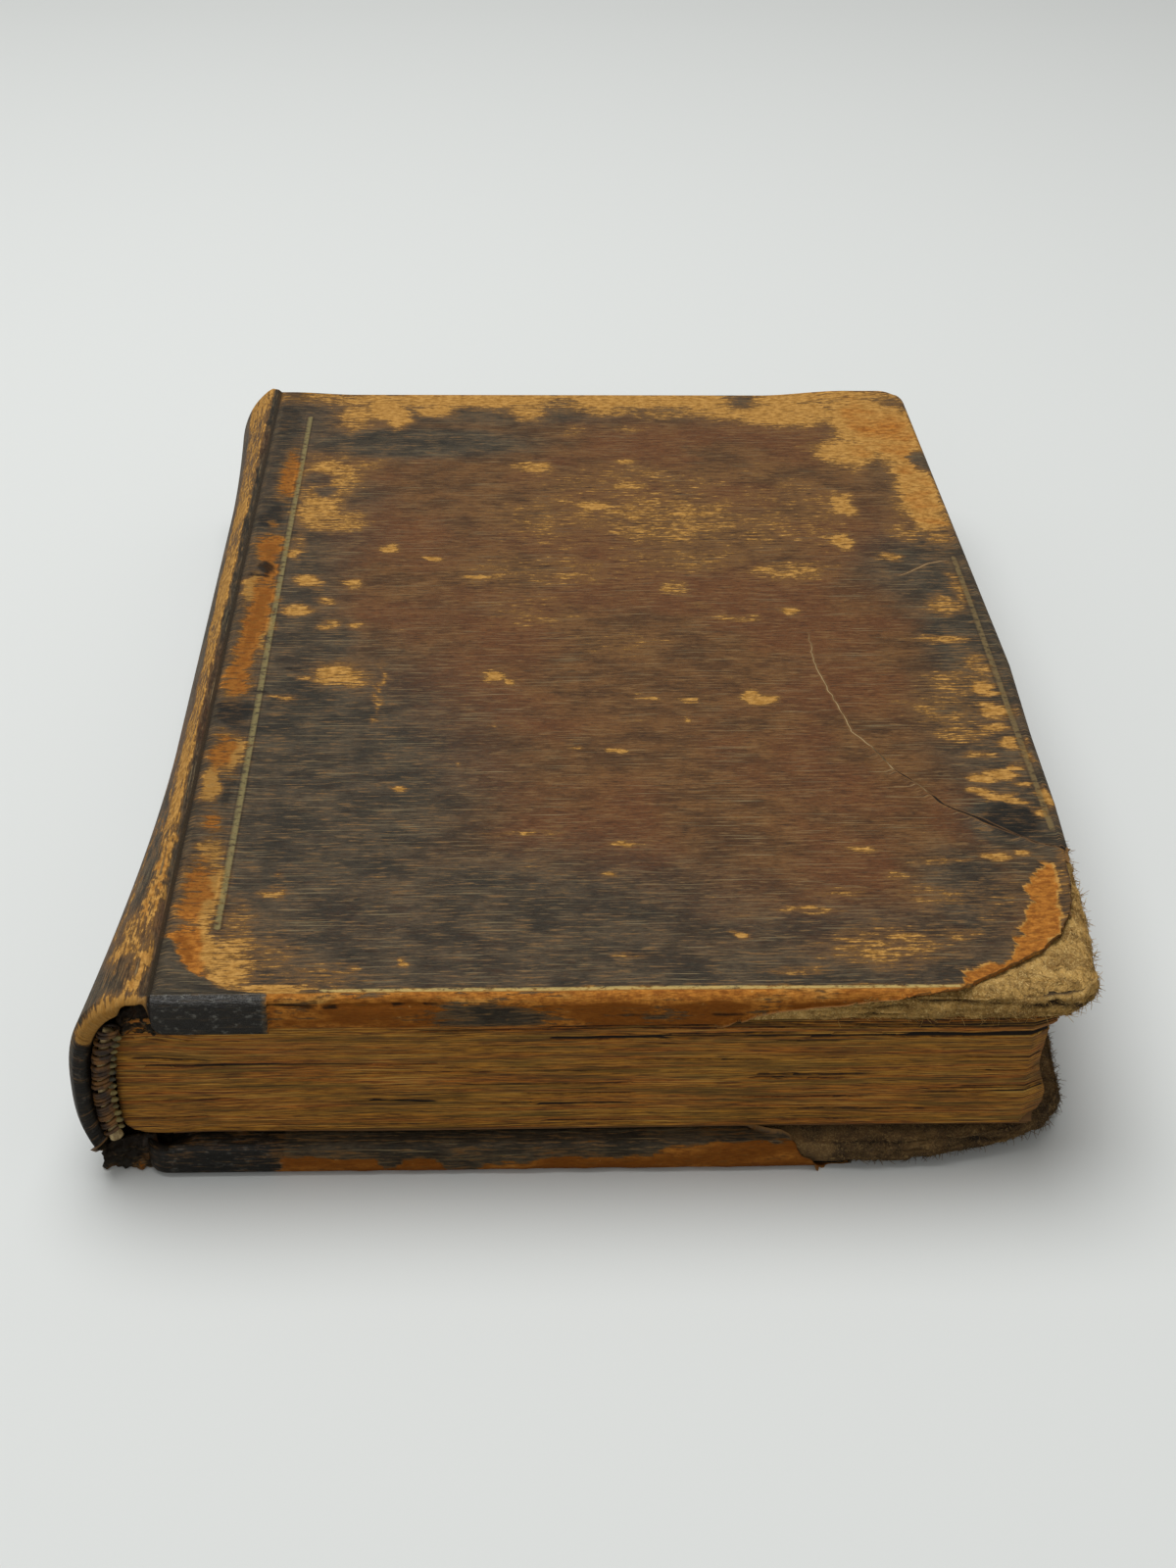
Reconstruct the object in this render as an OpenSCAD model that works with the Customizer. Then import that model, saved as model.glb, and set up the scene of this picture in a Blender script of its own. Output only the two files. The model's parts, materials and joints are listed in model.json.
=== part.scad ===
// Hardback book: a block of sewn leaves between two pasteboards, laced on with cords and covered in one
// skin of leather over a hollow back. It lies closed on its back cover.
// Millimetres. +X runs from the spine to the fore edge, +Y from the tail to the head, +Z from the back
// cover to the front cover. The origin is the centre of the base of the closed book.

/* [Book] */
// Height of the covers, tail to head
cover_len = 186; // [170:1:240]
// Width of a cover, from its hinge line to its fore edge
cover_w = 117; // [100:1:150]
// Thickness of the closed book over both covers
book_t = 27.5; // [25:0.5:36]
// How far the covers stand out beyond the leaves at head and tail
square_end = 2.4; // [2.4:0.1:5]
// How far the covers stand out beyond the leaves at the fore edge
square_fore = 8.5; // [5:0.5:12]

/* [Boards] */
// Thickness of a pasteboard
board_t = 3.4; // [2.6:0.1:3.6]
// Gap from the hinge line to the spine edge of a board
board_gap = 0.6; // [0.4:0.1:1]
// Width of the bevel along a board's inner spine edge
bevel_w = 3.0; // [2:0.1:4]
// Depth of the bevel along a board's inner spine edge
bevel_h = 1.4; // [1:0.1:1.6]
// Plan radius of a sound corner
corner_r = 5; // [3:0.5:8]
// Plan radius of the front board's worn corner
worn_r_front = 4.5; // [3:0.5:9]
// Plan radius of the back board's worn corner
worn_r_back = 11; // [3:0.5:13]
// How far the fore edge of a board is worn back at its worn corner
worn_in = 4.2; // [1:0.1:6]
// Length of fore edge over which a board is worn back
worn_run = 38; // [32:1:60]

/* [Leather] */
// Thickness of the leather
leather_t = 0.8; // [0.6:0.05:1]
// Width of the leather turned in over a board's inner face
turn_in_w = 14; // [10:1:20]
// Thickness of the pared turn-in
turn_in_t = 0.5; // [0.3:0.05:0.7]
// Radius of the leather over a board's edges
edge_r = 1.4; // [0.6:0.1:1.8]
// Distance of the ruled line from the hinge
rule_hinge = 5.8; // [4.5:0.1:9]
// Distance of the ruled line from the other three edges
rule_edge = 2.4; // [2:0.1:4]
// Width of the ruled line
rule_w = 0.8; // [0.4:0.1:1.2]
// Depth of the ruled line
rule_d = 0.15; // [0.1:0.05:0.3]
// How far the wear has cut the front cover's leather back from the fore edge at its worn corner
bare_in_front = 3.6; // [2:0.1:6]
// Plan radius of the torn leather at the front cover's worn corner
bare_r_front = 22; // [16:1:26]
// How far the wear has cut the back cover's leather back from the fore edge at its worn corner
bare_in_back = 5; // [2:0.1:6]
// Plan radius of the torn leather at the back cover's worn corner
bare_r_back = 24; // [16:1:28]
// How far the wear has cut the leather back from the tail edge beside a worn corner
bare_in_tail = 1.5; // [0.5:0.1:3]

/* [Spine] */
// Gap between the endband and the rolled end of the leather back, at the tail
tail_gap = 1.2; // [0.2:0.1:3]
// Gap between the endband and the rolled end of the leather back, at the head
head_gap = 0.3; // [0.2:0.1:2]
// Thickness of the rolled leather at the tail
cap_tail_t = 2.5; // [1.4:0.1:2.8]
// Thickness of the rolled leather at the head
cap_head_t = 1.7; // [1.4:0.1:2.8]
// Length over which the back flares out towards the tail
tail_flare = 68; // [50:1:76]
// Length over which the back flares out towards the head
head_flare = 40; // [36:1:76]
// Distance from the hinge line to the crest of the shoulder ridge
crest = 1.7; // [1.4:0.1:2.4]
// Depth of the groove along each hinge line
groove_d = 0.4; // [0.2:0.05:0.45]
// Thickness of the card that stiffens the back
card_t = 0.3; // [0.2:0.05:0.5]
// Length of the leather turned in at the ends of the back
cap_turn_in = 12; // [10:1:18]
// Length of the piece torn off the back's lower edge at the tail
torn_len = 7; // [3:0.5:12]
// Height of the piece torn off the back's lower edge at the tail
torn_h = 2.6; // [1:0.1:4]

/* [Leaves] */
// Number of folded sections
sections = 18; // [12:1:24]
// How far the rounded back of the leaves stands out from the hinge line
back_round = 5.2; // [3.6:0.1:6]
// Depth of the hollow in the fore edge
fore_hollow = 2.2; // [1:0.1:3.5]
// Radius of the leaves' thumbed corner, beside the back cover
thumbed_r = 2.6; // [1:0.1:4]
// Length of the slope where the leaves swell towards their folds
swell_len = 5; // [4:0.5:12]
// Thickness of the blank leaves at each side
flyleaf_t = 0.4; // [0.2:0.05:0.6]
// How far the blank leaves reach past the others at the fore edge
flyleaf_reach = 2.2; // [0.2:0.1:3]
// Thickness of the paper pasted to each board
paper_t = 0.2; // [0.1:0.05:0.3]
// Width of the gap that shows between two sections
seam_w = 0.12; // [0.08:0.02:0.2]
// Depth of the gap that shows between two sections
seam_d = 0.4; // [0.2:0.1:0.8]
// Thickness of the paper that lines the back of the leaves
lining_t = 0.2; // [0.1:0.05:0.3]

/* [Sewing] */
// Number of cords that the sections are sewn on
cords = 5; // [3:1:6]
// Diameter of a cord
cord_d = 1.2; // [0.9:0.1:1.3]
// Distance from each end of the leaves to the first cord
cord_end = 20; // [16:1:30]
// Distance from the hinge line to the hole where a cord goes through its board
lace_x = 11; // [9:0.5:16]
// Length of the frayed end of a cord, pasted down inside the board
fray_len = 9; // [5:0.5:14]
// Width of the frayed end of a cord
fray_w = 6; // [4:0.5:10]
// Thickness of the frayed end of a cord
fray_t = 0.3; // [0.2:0.05:0.4]
// Diameter of the core of an endband
band_core_d = 1.3; // [0.9:0.1:1.3]
// Diameter of the thread wound on an endband
band_thread_d = 0.5; // [0.3:0.05:0.5]
// Distance between two turns of the thread
band_pitch = 1.05; // [0.9:0.05:1.4]
// Length of an endband, across the thickness of the leaves
band_w = 15.5; // [12:0.5:17]
// Length of bare core past the last turn of an endband
band_tail = 1.4; // [0.5:0.1:2]
// How far the middle of the loosened endband at the tail lies outside the folds
band_out_tail = 0.9; // [-0.3:0.1:1.2]
// How far the middle of the endband at the head lies outside the folds
band_out_head = -0.2; // [-0.3:0.1:1.2]

/* [Hidden] */
$fn = 48;

// Clearance between two pieces that are pasted or sewn together
fit = 0.05;
// Clearance between pieces that move apart when a cover opens
running_gap = 0.3;
// Half of the open line along each hinge, where the leather bends
joint_gap = 0.15;
// Overlap of a cutting shape past the face that it cuts
eps = 1;

half_len = cover_len / 2;
mid_z = book_t / 2;
cord_r = cord_d / 2;
inner_t = leather_t + board_t + turn_in_t;
edge_fillet = min(edge_r, inner_t / 2 - 0.2);
cord_z = leather_t + cord_r + 2 * fit;
slope = bevel_h / bevel_w;
turn_in_rise = turn_in_t * norm([1, slope]);

// The block of leaves
block_half = half_len - square_end;
block_z0 = inner_t + paper_t + 3 * fit + flyleaf_t;
block_z1 = book_t - block_z0;
body_half = mid_z - block_z0;
block_fore = cover_w - square_fore;
shoulder_x = -2 * joint_gap;
shoulder_half = mid_z - leather_t - groove_d - 2 * fit;
back_sag = back_round + shoulder_x;
back_r = arc_radius(back_sag, shoulder_half);
back_angle = asin(shoulder_half / back_r);
swell = mid_z - bevel_z(joint_gap) - turn_in_rise - running_gap - flyleaf_t - 2 * fit - body_half;
fold_r = back_r * back_angle * PI / 180 / sections;

// Endbands lie on the ends of the folds
band_r = band_core_d / 2 + band_thread_d;
band_half_angle = asin(band_w / 2 / back_r);
band_turns = floor(band_w / band_pitch);

// The leather back stands clear of the lining and the card
leather_half = mid_z - 2 * fit;
bulge_mid = back_round + lining_t + card_t + leather_t + 4 * fit;
bulge_tail = back_round + band_out_tail + band_r + tail_gap + cap_tail_t;
bulge_head = back_round + band_out_head + band_r + head_gap + cap_head_t;
hinge_x = (bulge_tail - cover_w) / 2;
back_steps = 36;
card_first_step = 4;

leather_colour = "#4a3524";
board_colour = "#8a6f45";
leaf_colour = "#96773f";
paper_colour = "#b79a66";
card_colour = "#6d5636";
cord_colour = "#b59a6a";
core_colour = "#d8c9a0";
thread_colour = "#8d6a3c";

// Radius of an arc from its rise and half its chord
function arc_radius(rise, half) = (half * half + rise * rise) / (2 * rise);

// Height of a board's bevel above the cover's outer face
function bevel_z(x) = leather_t + board_t - max(0, board_gap + bevel_w - x) * slope;

// Half the thickness of the leaves, which swell towards their folds
function leaves_half(x) = body_half + swell * pow(max(0, 1 - (x - shoulder_x) / swell_len), 1.4);

// Share of the flare, 1 at one end of the back and 0 where the flare has died out
function flare(from_end, len) = pow(max(0, 1 - from_end / len), 1.7);
function flare_tail(y) = flare(y + half_len, tail_flare);
function flare_head(y) = flare(half_len - y, head_flare);

// How far the leather back stands out at a place along its length
function bulge(y) =
    bulge_mid + (bulge_tail - bulge_mid) * flare_tail(y) + (bulge_head - bulge_mid) * flare_head(y);

// A point on the leather back, inset from its outer face: u is -1 at the back crest and 1 at the front one.
// The section is an arc where the back lies on the leaves, and turns into an oval where it has opened.
function shell_point(y, u, inset) =
    let (
        rise = bulge(y) - crest,
        r = arc_radius(rise, leather_half),
        angle = u * asin(leather_half / r),
        arc = [r - rise - (r - inset) * cos(angle), (r - inset) * sin(angle)],
        oval = [-(rise - inset) * pow(cos(90 * u), 0.8),
            sign(u) * (leather_half - inset) * pow(abs(sin(90 * u)), 0.8)],
        open = min(1, flare_tail(y) + 0.3 * flare_head(y)))
    [-crest, mid_z] + (1 - open) * arc + open * oval;

function cord_y(i) =
    -block_half + cord_end + (i - 1) * (2 * block_half - 2 * cord_end) / (cords - 1);

// A shell swept along Y, from outer and inner outlines that are given for each place in ys
module swept_shell(ys, outer, inner) {
    n = len(outer[0]);
    m = len(ys);
    points = concat(
        [for (i = [0:m - 1]) for (p = outer[i]) [p[0], ys[i], p[1]]],
        [for (i = [0:m - 1]) for (p = inner[i]) [p[0], ys[i], p[1]]]);
    function o(i, j) = i * n + j;
    function k(i, j) = m * n + i * n + j;
    skins = [for (i = [0:m - 2]) for (j = [0:n - 2]) for (f = [
        [o(i, j), o(i, j + 1), o(i + 1, j)], [o(i + 1, j), o(i, j + 1), o(i + 1, j + 1)],
        [k(i, j), k(i + 1, j), k(i, j + 1)], [k(i + 1, j), k(i + 1, j + 1), k(i, j + 1)]]) f];
    ends = [for (j = [0:n - 2]) for (f = [
        [o(0, j), k(0, j), o(0, j + 1)], [o(0, j + 1), k(0, j), k(0, j + 1)],
        [o(m - 1, j), o(m - 1, j + 1), k(m - 1, j)], [o(m - 1, j + 1), k(m - 1, j + 1), k(m - 1, j)]]) f];
    sides = [for (i = [0:m - 2]) for (f = [
        [o(i, 0), o(i + 1, 0), k(i, 0)], [o(i + 1, 0), k(i + 1, 0), k(i, 0)],
        [o(i, n - 1), k(i, n - 1), o(i + 1, n - 1)], [o(i + 1, n - 1), k(i, n - 1), k(i + 1, n - 1)]]) f];
    polyhedron(points, concat(skins, ends, sides), convexity = 6);
}

// Plan of a cover or board, its tail and head fore corners rounded
module cover_plan(x0, x1, half, tail_r, head_r) {
    difference() {
        translate([x0, -half]) square([x1 - x0, 2 * half]);
        translate([x1, -half]) mirror([1, 0]) corner_waste(tail_r);
        translate([x1, half]) mirror([1, 0]) mirror([0, 1]) corner_waste(head_r);
    }
}

// What rounding takes off a square corner that lies at the origin
module corner_waste(r) {
    difference() {
        translate([-eps, -eps]) square([r + eps, r + eps]);
        translate([r, r]) circle(r);
    }
}

// Section of a slab, rounded over at its far edge and, where both is true, at its near edge too
module rounded_section(a, b, z0, z1, r, both) {
    start = both ? a + r : a;
    translate([start, z0]) square([b - r - start, z1 - z0]);
    translate([a, z0 + r]) square([b - a, z1 - z0 - 2 * r]);
    for (z = [z0 + r, z1 - r]) {
        translate([b - r, z]) circle(r);
        if (both) translate([a + r, z]) circle(r);
    }
}

// A slab from the hinge line outwards, its head, tail and fore edges rounded over
module wrapped_slab(x0, x1, half, z0, z1, r, tail_r, head_r) {
    intersection() {
        translate([0, half + eps, 0]) rotate([90, 0, 0])
            linear_extrude(2 * half + 2 * eps) rounded_section(x0, x1, z0, z1, r, false);
        translate([x0 - eps, 0, 0]) rotate([90, 0, 90])
            linear_extrude(x1 - x0 + 2 * eps) rounded_section(-half, half, z0, z1, r, true);
        translate([0, 0, z0 - eps])
            linear_extrude(z1 - z0 + 2 * eps) cover_plan(x0, x1, half, tail_r, head_r);
    }
}

// What the bevel takes off a cover's inner spine edge, a distance above the board's own bevel
module bevel_waste(rise) {
    x1 = board_gap + bevel_w + turn_in_t / slope;
    translate([0, half_len + eps, 0]) rotate([90, 0, 0]) linear_extrude(cover_len + 2 * eps)
        polygon([[-eps, bevel_z(-eps) + rise], [x1, bevel_z(board_gap + bevel_w) + rise + turn_in_t],
            [x1, inner_t + eps], [-eps, inner_t + eps]]);
}

// Plan of the tail and fore corner where the leather has worn through, grown by a margin
module bare_plan(bare_in, r, margin) {
    x1 = cover_w - bare_in + margin;
    y0 = -half_len + bare_in_tail - margin;
    difference() {
        translate([x1 - r, -half_len - eps]) square([r + bare_in + eps, r + bare_in_tail + 2 * eps]);
        translate([x1 - r, y0 + r]) circle(r);
        translate([x1 - r - eps, y0 + r]) square([r + eps, r]);
    }
}

// Ruled border pressed into the outer face
module ruled_border() {
    x0 = rule_hinge;
    x1 = cover_w - rule_edge;
    y1 = half_len - rule_edge;
    for (x = [x0, x1]) translate([x - rule_w / 2, -y1, -eps]) cube([rule_w, 2 * y1, rule_d + eps]);
    for (y = [-y1, y1]) translate([x0, y - rule_w / 2, -eps]) cube([x1 - x0, rule_w, rule_d + eps]);
}

// Leather of one cover: outer face at z 0, hinge line at x 0
module cover_leather(bare_in, bare_r) {
    groove_r = 3;
    cavity_r = corner_r - leather_t;
    difference() {
        wrapped_slab(joint_gap, cover_w, half_len, 0, inner_t, edge_fillet, corner_r, corner_r);
        translate([0, 0, leather_t]) linear_extrude(board_t)
            cover_plan(-eps, cover_w - leather_t, half_len - leather_t, cavity_r, cavity_r);
        translate([-eps, -half_len + turn_in_w, leather_t])
            cube([cover_w - turn_in_w + eps, 2 * (half_len - turn_in_w), inner_t]);
        translate([0, half_len + eps, groove_d - groove_r]) rotate([90, 0, 0])
            cylinder(h = cover_len + 2 * eps, r = groove_r);
        bevel_waste(turn_in_rise);
        ruled_border();
        translate([0, 0, -eps]) linear_extrude(inner_t + 2 * eps) bare_plan(bare_in, bare_r, 0);
    }
}

// Plan of the frayed end of a cord
module fray_plan(margin) {
    r = cord_r + margin;
    polygon([[-r, -r], [0, -r], [fray_len + margin, -fray_w / 2 - margin],
        [fray_len + margin, fray_w / 2 + margin], [0, r], [-r, r]]);
}

// One cord laced into a board: along the outer face, through the hole and frayed out inside
module laced_slip(y) {
    inside = leather_t + board_t;
    start = joint_gap + fit;
    translate([0, y, 0]) {
        translate([start, 0, cord_z]) rotate([0, 90, 0]) cylinder(h = lace_x - start, r = cord_r);
        translate([lace_x, 0, cord_z]) sphere(cord_r);
        translate([lace_x, 0, cord_z]) cylinder(h = inside - cord_z - fray_t / 2, r = cord_r);
        translate([lace_x, 0, inside - fray_t]) linear_extrude(fray_t) fray_plan(0);
    }
}

// The channel, hole and sinking that a laced cord takes in its board
module lacing_cut(y) {
    inside = leather_t + board_t;
    r = cord_r + fit;
    translate([0, y, 0]) {
        translate([-eps, 0, cord_z]) rotate([0, 90, 0]) cylinder(h = lace_x + eps, r = r);
        translate([-eps, -r, 0]) cube([lace_x + eps, 2 * r, cord_z]);
        translate([lace_x, 0, 0]) cylinder(h = inside + eps, r = r);
        translate([lace_x, 0, inside - fray_t - fit]) linear_extrude(fray_t + eps) fray_plan(fit);
    }
}

// Plan of a bare board beside its worn corner: the fore edge runs in towards a small round
module worn_plan(r) {
    x1 = cover_w - leather_t / 2;
    y0 = -half_len + leather_t / 2;
    lean = atan(worn_in / worn_run);
    round_x = x1 - worn_in + r * tan(lean) - r / cos(lean);
    intersection() {
        polygon([[-eps, y0], [x1 - worn_in, y0], [x1, y0 + worn_run], [x1, half_len], [-eps, half_len]]);
        union() {
            translate([round_x, y0 + r]) circle(r);
            translate([-eps, y0]) square([round_x + eps, worn_run]);
            translate([-eps, y0 + r]) square([cover_w, cover_len]);
        }
    }
}

// Pasteboard of one cover, swollen where the leather has worn away, and worn round at that corner
module cover_board(bare_in, bare_r, worn_r) {
    swollen = leather_t / 2;
    sound_r = corner_r - leather_t;
    difference() {
        union() {
            translate([0, 0, leather_t + fit]) linear_extrude(board_t - 2 * fit)
                cover_plan(board_gap, cover_w - leather_t - fit, half_len - leather_t - fit, sound_r, sound_r);
            intersection() {
                wrapped_slab(board_gap, cover_w - swollen, half_len - swollen, leather_t - swollen,
                    leather_t + board_t, edge_fillet, sound_r, sound_r);
                linear_extrude(book_t) bare_plan(bare_in, bare_r, fit);
            }
        }
        linear_extrude(book_t) difference() {
            bare_plan(bare_in, bare_r, fit);
            worn_plan(worn_r);
        }
        for (i = [1:cords]) lacing_cut(cord_y(i));
        bevel_waste(-fit);
    }
}

// Paper pasted over the turn-ins and the board inside a cover, following the step between them
module pastedown() {
    margin = 4;
    x0 = board_gap + bevel_w + turn_in_t / slope + fit;
    well = leather_t + board_t;
    x1 = cover_w - margin - worn_in;
    y1 = half_len - margin;
    win_x = cover_w - turn_in_w - fit;
    win_y = half_len - turn_in_w - fit;
    difference() {
        union() {
            translate([x0, -y1, inner_t + fit]) cube([x1 - x0, 2 * y1, paper_t]);
            translate([x0, -win_y, well + fit]) cube([win_x - x0, 2 * win_y, turn_in_t + paper_t]);
        }
        translate([x0 - eps, -win_y + paper_t, well + fit + paper_t])
            cube([win_x - x0 - paper_t + eps, 2 * (win_y - paper_t), turn_in_t + paper_t + eps]);
        linear_extrude(book_t) bare_plan(bare_in_back, bare_r_back, margin / 2);
    }
}

// Places a cover's piece at the bottom of the book, or turned over at the top
module at_back() { translate([hinge_x, 0, 0]) children(); }
module at_front() { translate([hinge_x, 0, book_t]) mirror([0, 0, 1]) children(); }

// Section of the sewn leaves: swollen towards the back, a ridge for each fold, a hollow fore edge
module leaves_section() {
    hollow_r = arc_radius(fore_hollow, body_half);
    steps = 8;
    swell_xs = [for (k = [0:steps]) shoulder_x + swell_len * k / steps];
    translate([0, mid_z]) difference() {
        polygon(concat([[block_fore, -body_half], [block_fore, body_half]],
            [for (k = [0:steps]) [swell_xs[steps - k], leaves_half(swell_xs[steps - k])]],
            [for (x = swell_xs) [x, -leaves_half(x)]]));
        translate([block_fore - fore_hollow + hollow_r, 0]) circle(hollow_r, $fn = 96);
        translate([block_fore, -body_half]) mirror([1, 0]) corner_waste(thumbed_r);
    }
    translate([0, mid_z]) intersection() {
        union() {
            translate([back_r - back_round, 0]) circle(back_r - fold_r, $fn = 180);
            for (i = [0:sections - 1]) translate([back_r - back_round, 0])
                rotate(180 + back_angle * (2 * (i + 0.5) / sections - 1))
                    translate([back_r - fold_r, 0]) circle(fold_r);
        }
        translate([-back_round - eps, -shoulder_half]) square([back_round + eps + shoulder_x, 2 * shoulder_half]);
    }
}

// Lines between the sections, as they show on the cut edges of the leaves
module seam_lines() {
    steps = 5;
    for (i = [1:sections - 1]) {
        share = 2 * i / sections - 1;
        angle = share * back_angle;
        line = concat([[block_fore + eps, share * body_half]],
            [for (k = [steps:-1:0]) let (x = shoulder_x + swell_len * k / steps) [x, share * leaves_half(x)]],
            [[back_r - back_round - (back_r + eps) * cos(angle), (back_r + eps) * sin(angle)]]);
        translate([0, mid_z]) polygon(concat([for (p = line) p + [0, seam_w / 2]],
            [for (k = [len(line) - 1:-1:0]) line[k] - [0, seam_w / 2]]));
    }
}

// A sewing cord's arc is sunk just under the folds
cord_arc_r = back_r - cord_r - 2 * fit;
cord_half_angle = acos((back_r - back_round - shoulder_x) / cord_arc_r);

// Slot sawn across the back for one cord
module kerf(y) {
    width = cord_d + 2 * fit;
    translate([0, y + width / 2, mid_z]) rotate([90, 0, 0]) linear_extrude(width) difference() {
        translate([-back_round - eps, -shoulder_half - eps])
            square([back_round + eps, 2 * shoulder_half + 2 * eps]);
        translate([back_r - back_round, 0]) circle(cord_arc_r - cord_r - fit, $fn = 180);
    }
}

module text_block() {
    color(leaf_colour) translate([hinge_x, 0, 0]) difference() {
        translate([0, block_half, 0]) rotate([90, 0, 0]) linear_extrude(2 * block_half) leaves_section();
        for (y = [-block_half + seam_d, block_half + eps])
            translate([0, y, 0]) rotate([90, 0, 0]) linear_extrude(seam_d + eps) seam_lines();
        for (i = [1:cords]) kerf(cord_y(i));
    }
}

// Blank leaves beside a cover, which follow the swell of the others. Side is 1 at the front, -1 at the back.
module flyleaf(side) {
    steps = 8;
    xs = concat([for (k = [0:steps]) joint_gap + (swell_len - joint_gap) * k / steps],
        [block_fore + flyleaf_reach]);
    color(paper_colour) translate([hinge_x, block_half, mid_z]) rotate([90, 0, 0]) linear_extrude(2 * block_half)
        polygon(concat([for (x = xs) [x, side * (leaves_half(x) + fit)]],
            [for (k = [len(xs) - 1:-1:0]) [xs[k], side * (leaves_half(xs[k]) + fit + flyleaf_t)]]));
}

// Sewing cord in its kerf, over the back from one shoulder to the other
module sewing_cord(i) {
    color(cord_colour) translate([hinge_x + back_r - back_round, cord_y(i), mid_z]) rotate([90, 0, 0])
        rotate([0, 0, 180 - cord_half_angle]) rotate_extrude(angle = 2 * cord_half_angle)
            translate([cord_arc_r, 0]) circle(cord_r);
}

// Paper pasted over the folds
module spine_lining() {
    end_gap = 5;
    half = block_half - end_gap;
    reach = shoulder_half - 1.5;
    color(card_colour) translate([hinge_x, half, mid_z]) rotate([90, 0, 0]) linear_extrude(2 * half)
        intersection() {
            translate([back_r - back_round, 0]) difference() {
                circle(back_r + fit + lining_t, $fn = 180);
                circle(back_r + fit, $fn = 180);
            }
            translate([-back_round - eps, -reach]) square([back_round + eps, 2 * reach]);
        }
}

// Places along the back between its turned-in ends
function back_stations() =
    let (stations = 20, half = half_len - cap_turn_in) [for (i = [0:stations]) half * (2 * i / stations - 1)];

// Card inside the leather that keeps the hollow back in shape
module spine_card() {
    function ring(y, inset) = [for (k = [card_first_step:back_steps - card_first_step])
        shell_point(y, 1 - 2 * k / back_steps, inset)];
    color(card_colour) translate([hinge_x, 0, 0]) swept_shell(back_stations(),
        [for (y = back_stations()) ring(y, leather_t + fit)],
        [for (y = back_stations()) ring(y, leather_t + fit + card_t)]);
}

// Leather back: it lies on the leaves, flares open at its ends and is rolled thick where it is turned in
module spine_leather() {
    lip = 1;
    full_turn = 2;
    ends = [0, lip / 3, lip, full_turn, (full_turn + cap_turn_in) / 2];
    ys = concat([for (e = ends) e - half_len], back_stations(), [for (k = [len(ends) - 1:-1:0]) half_len - ends[k]]);
    function from_end(y) = half_len - abs(y);
    function cap_t(y) = y < 0 ? cap_tail_t : cap_head_t;
    function lip_inset(y) = cap_t(y) / 3 * pow(max(0, 1 - from_end(y) / lip), 2);
    function thick(y, u) = leather_t + (cap_t(y) - leather_t)
        * min(1, max(0, (cap_turn_in - from_end(y)) / (cap_turn_in - full_turn)))
        * min(1, max(0, (0.95 - abs(u)) / 0.15));
    function inner_inset(y, u) = thick(y, u) * (1 - lip_inset(y) / cap_t(y));
    function ring(y, inner, hinge_dz) = concat([[-joint_gap, mid_z + hinge_dz]],
        [for (k = [0:back_steps]) let (u = 1 - 2 * k / back_steps)
            shell_point(y, u, inner ? inner_inset(y, u) : lip_inset(y))],
        [[-joint_gap, mid_z - hinge_dz]]);
    color(leather_colour) translate([hinge_x, 0, 0]) difference() {
        swept_shell(ys,
            [for (y = ys) ring(y, false, mid_z - groove_d)], [for (y = ys) ring(y, true, mid_z - leather_t - fit)]);
        torn_piece();
    }
}

// The piece torn off the back beside the back cover, at the tail
module torn_piece() {
    x0 = -bulge_tail - eps;
    y0 = -half_len - eps;
    translate([x0, 0, 0]) rotate([90, 0, 90]) linear_extrude(eps - x0)
        polygon([[y0, -eps], [-half_len + torn_len, -eps], [y0, torn_h]]);
}

// Lays an endband's arc across the ends of the folds. Side is 1 at the head, -1 at the tail.
module on_band(side) {
    out = side < 0 ? band_out_tail : band_out_head;
    translate([hinge_x + back_r - back_round - out, side * (block_half + band_r + fit), mid_z])
        rotate([90, 0, 0]) children();
}

module endband_core(side) {
    half_angle = band_half_angle + asin(band_tail / back_r);
    color(core_colour) on_band(side) rotate([0, 0, 180 - half_angle])
        rotate_extrude(angle = 2 * half_angle) translate([back_r, 0]) circle(band_core_d / 2);
}

// Turns of thread round an endband, each with its bead against the leaves
module endband_thread(side) {
    ring_r = band_core_d / 2 + band_thread_d / 2 + 0.02;
    color(thread_colour) on_band(side) for (i = [0:band_turns - 1])
        rotate([0, 0, 180 + band_half_angle * (2 * (i + 0.5) / band_turns - 1)]) translate([back_r, 0, 0])
            rotate([90, 0, 0]) rotate_extrude() translate([ring_r, 0]) circle(band_thread_d / 2, $fn = 24);
}

color(board_colour)  // back_board
    at_back() cover_board(bare_in_back, bare_r_back, worn_r_back);
color(leather_colour)  // back_leather
    at_back() cover_leather(bare_in_back, bare_r_back);
color(paper_colour) at_back() pastedown();  // back_pastedown
for (i = [1:cords]) {
    color(cord_colour) at_back() laced_slip(cord_y(i));
    color(cord_colour) at_front() laced_slip(cord_y(i));
    sewing_cord(i);
}
text_block();
flyleaf(1);  // front_flyleaf
flyleaf(-1);  // back_flyleaf
spine_lining();
endband_core(-1);  // tail_endband_core
endband_thread(-1);  // tail_endband_thread
endband_core(1);  // head_endband_core
endband_thread(1);  // head_endband_thread
spine_card();
spine_leather();
color(board_colour)  // front_board
    at_front() cover_board(bare_in_front, bare_r_front, worn_r_front);
color(leather_colour)  // front_leather
    at_front() cover_leather(bare_in_front, bare_r_front);
color(paper_colour) at_front() pastedown();  // front_pastedown
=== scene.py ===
import json
import math

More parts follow.
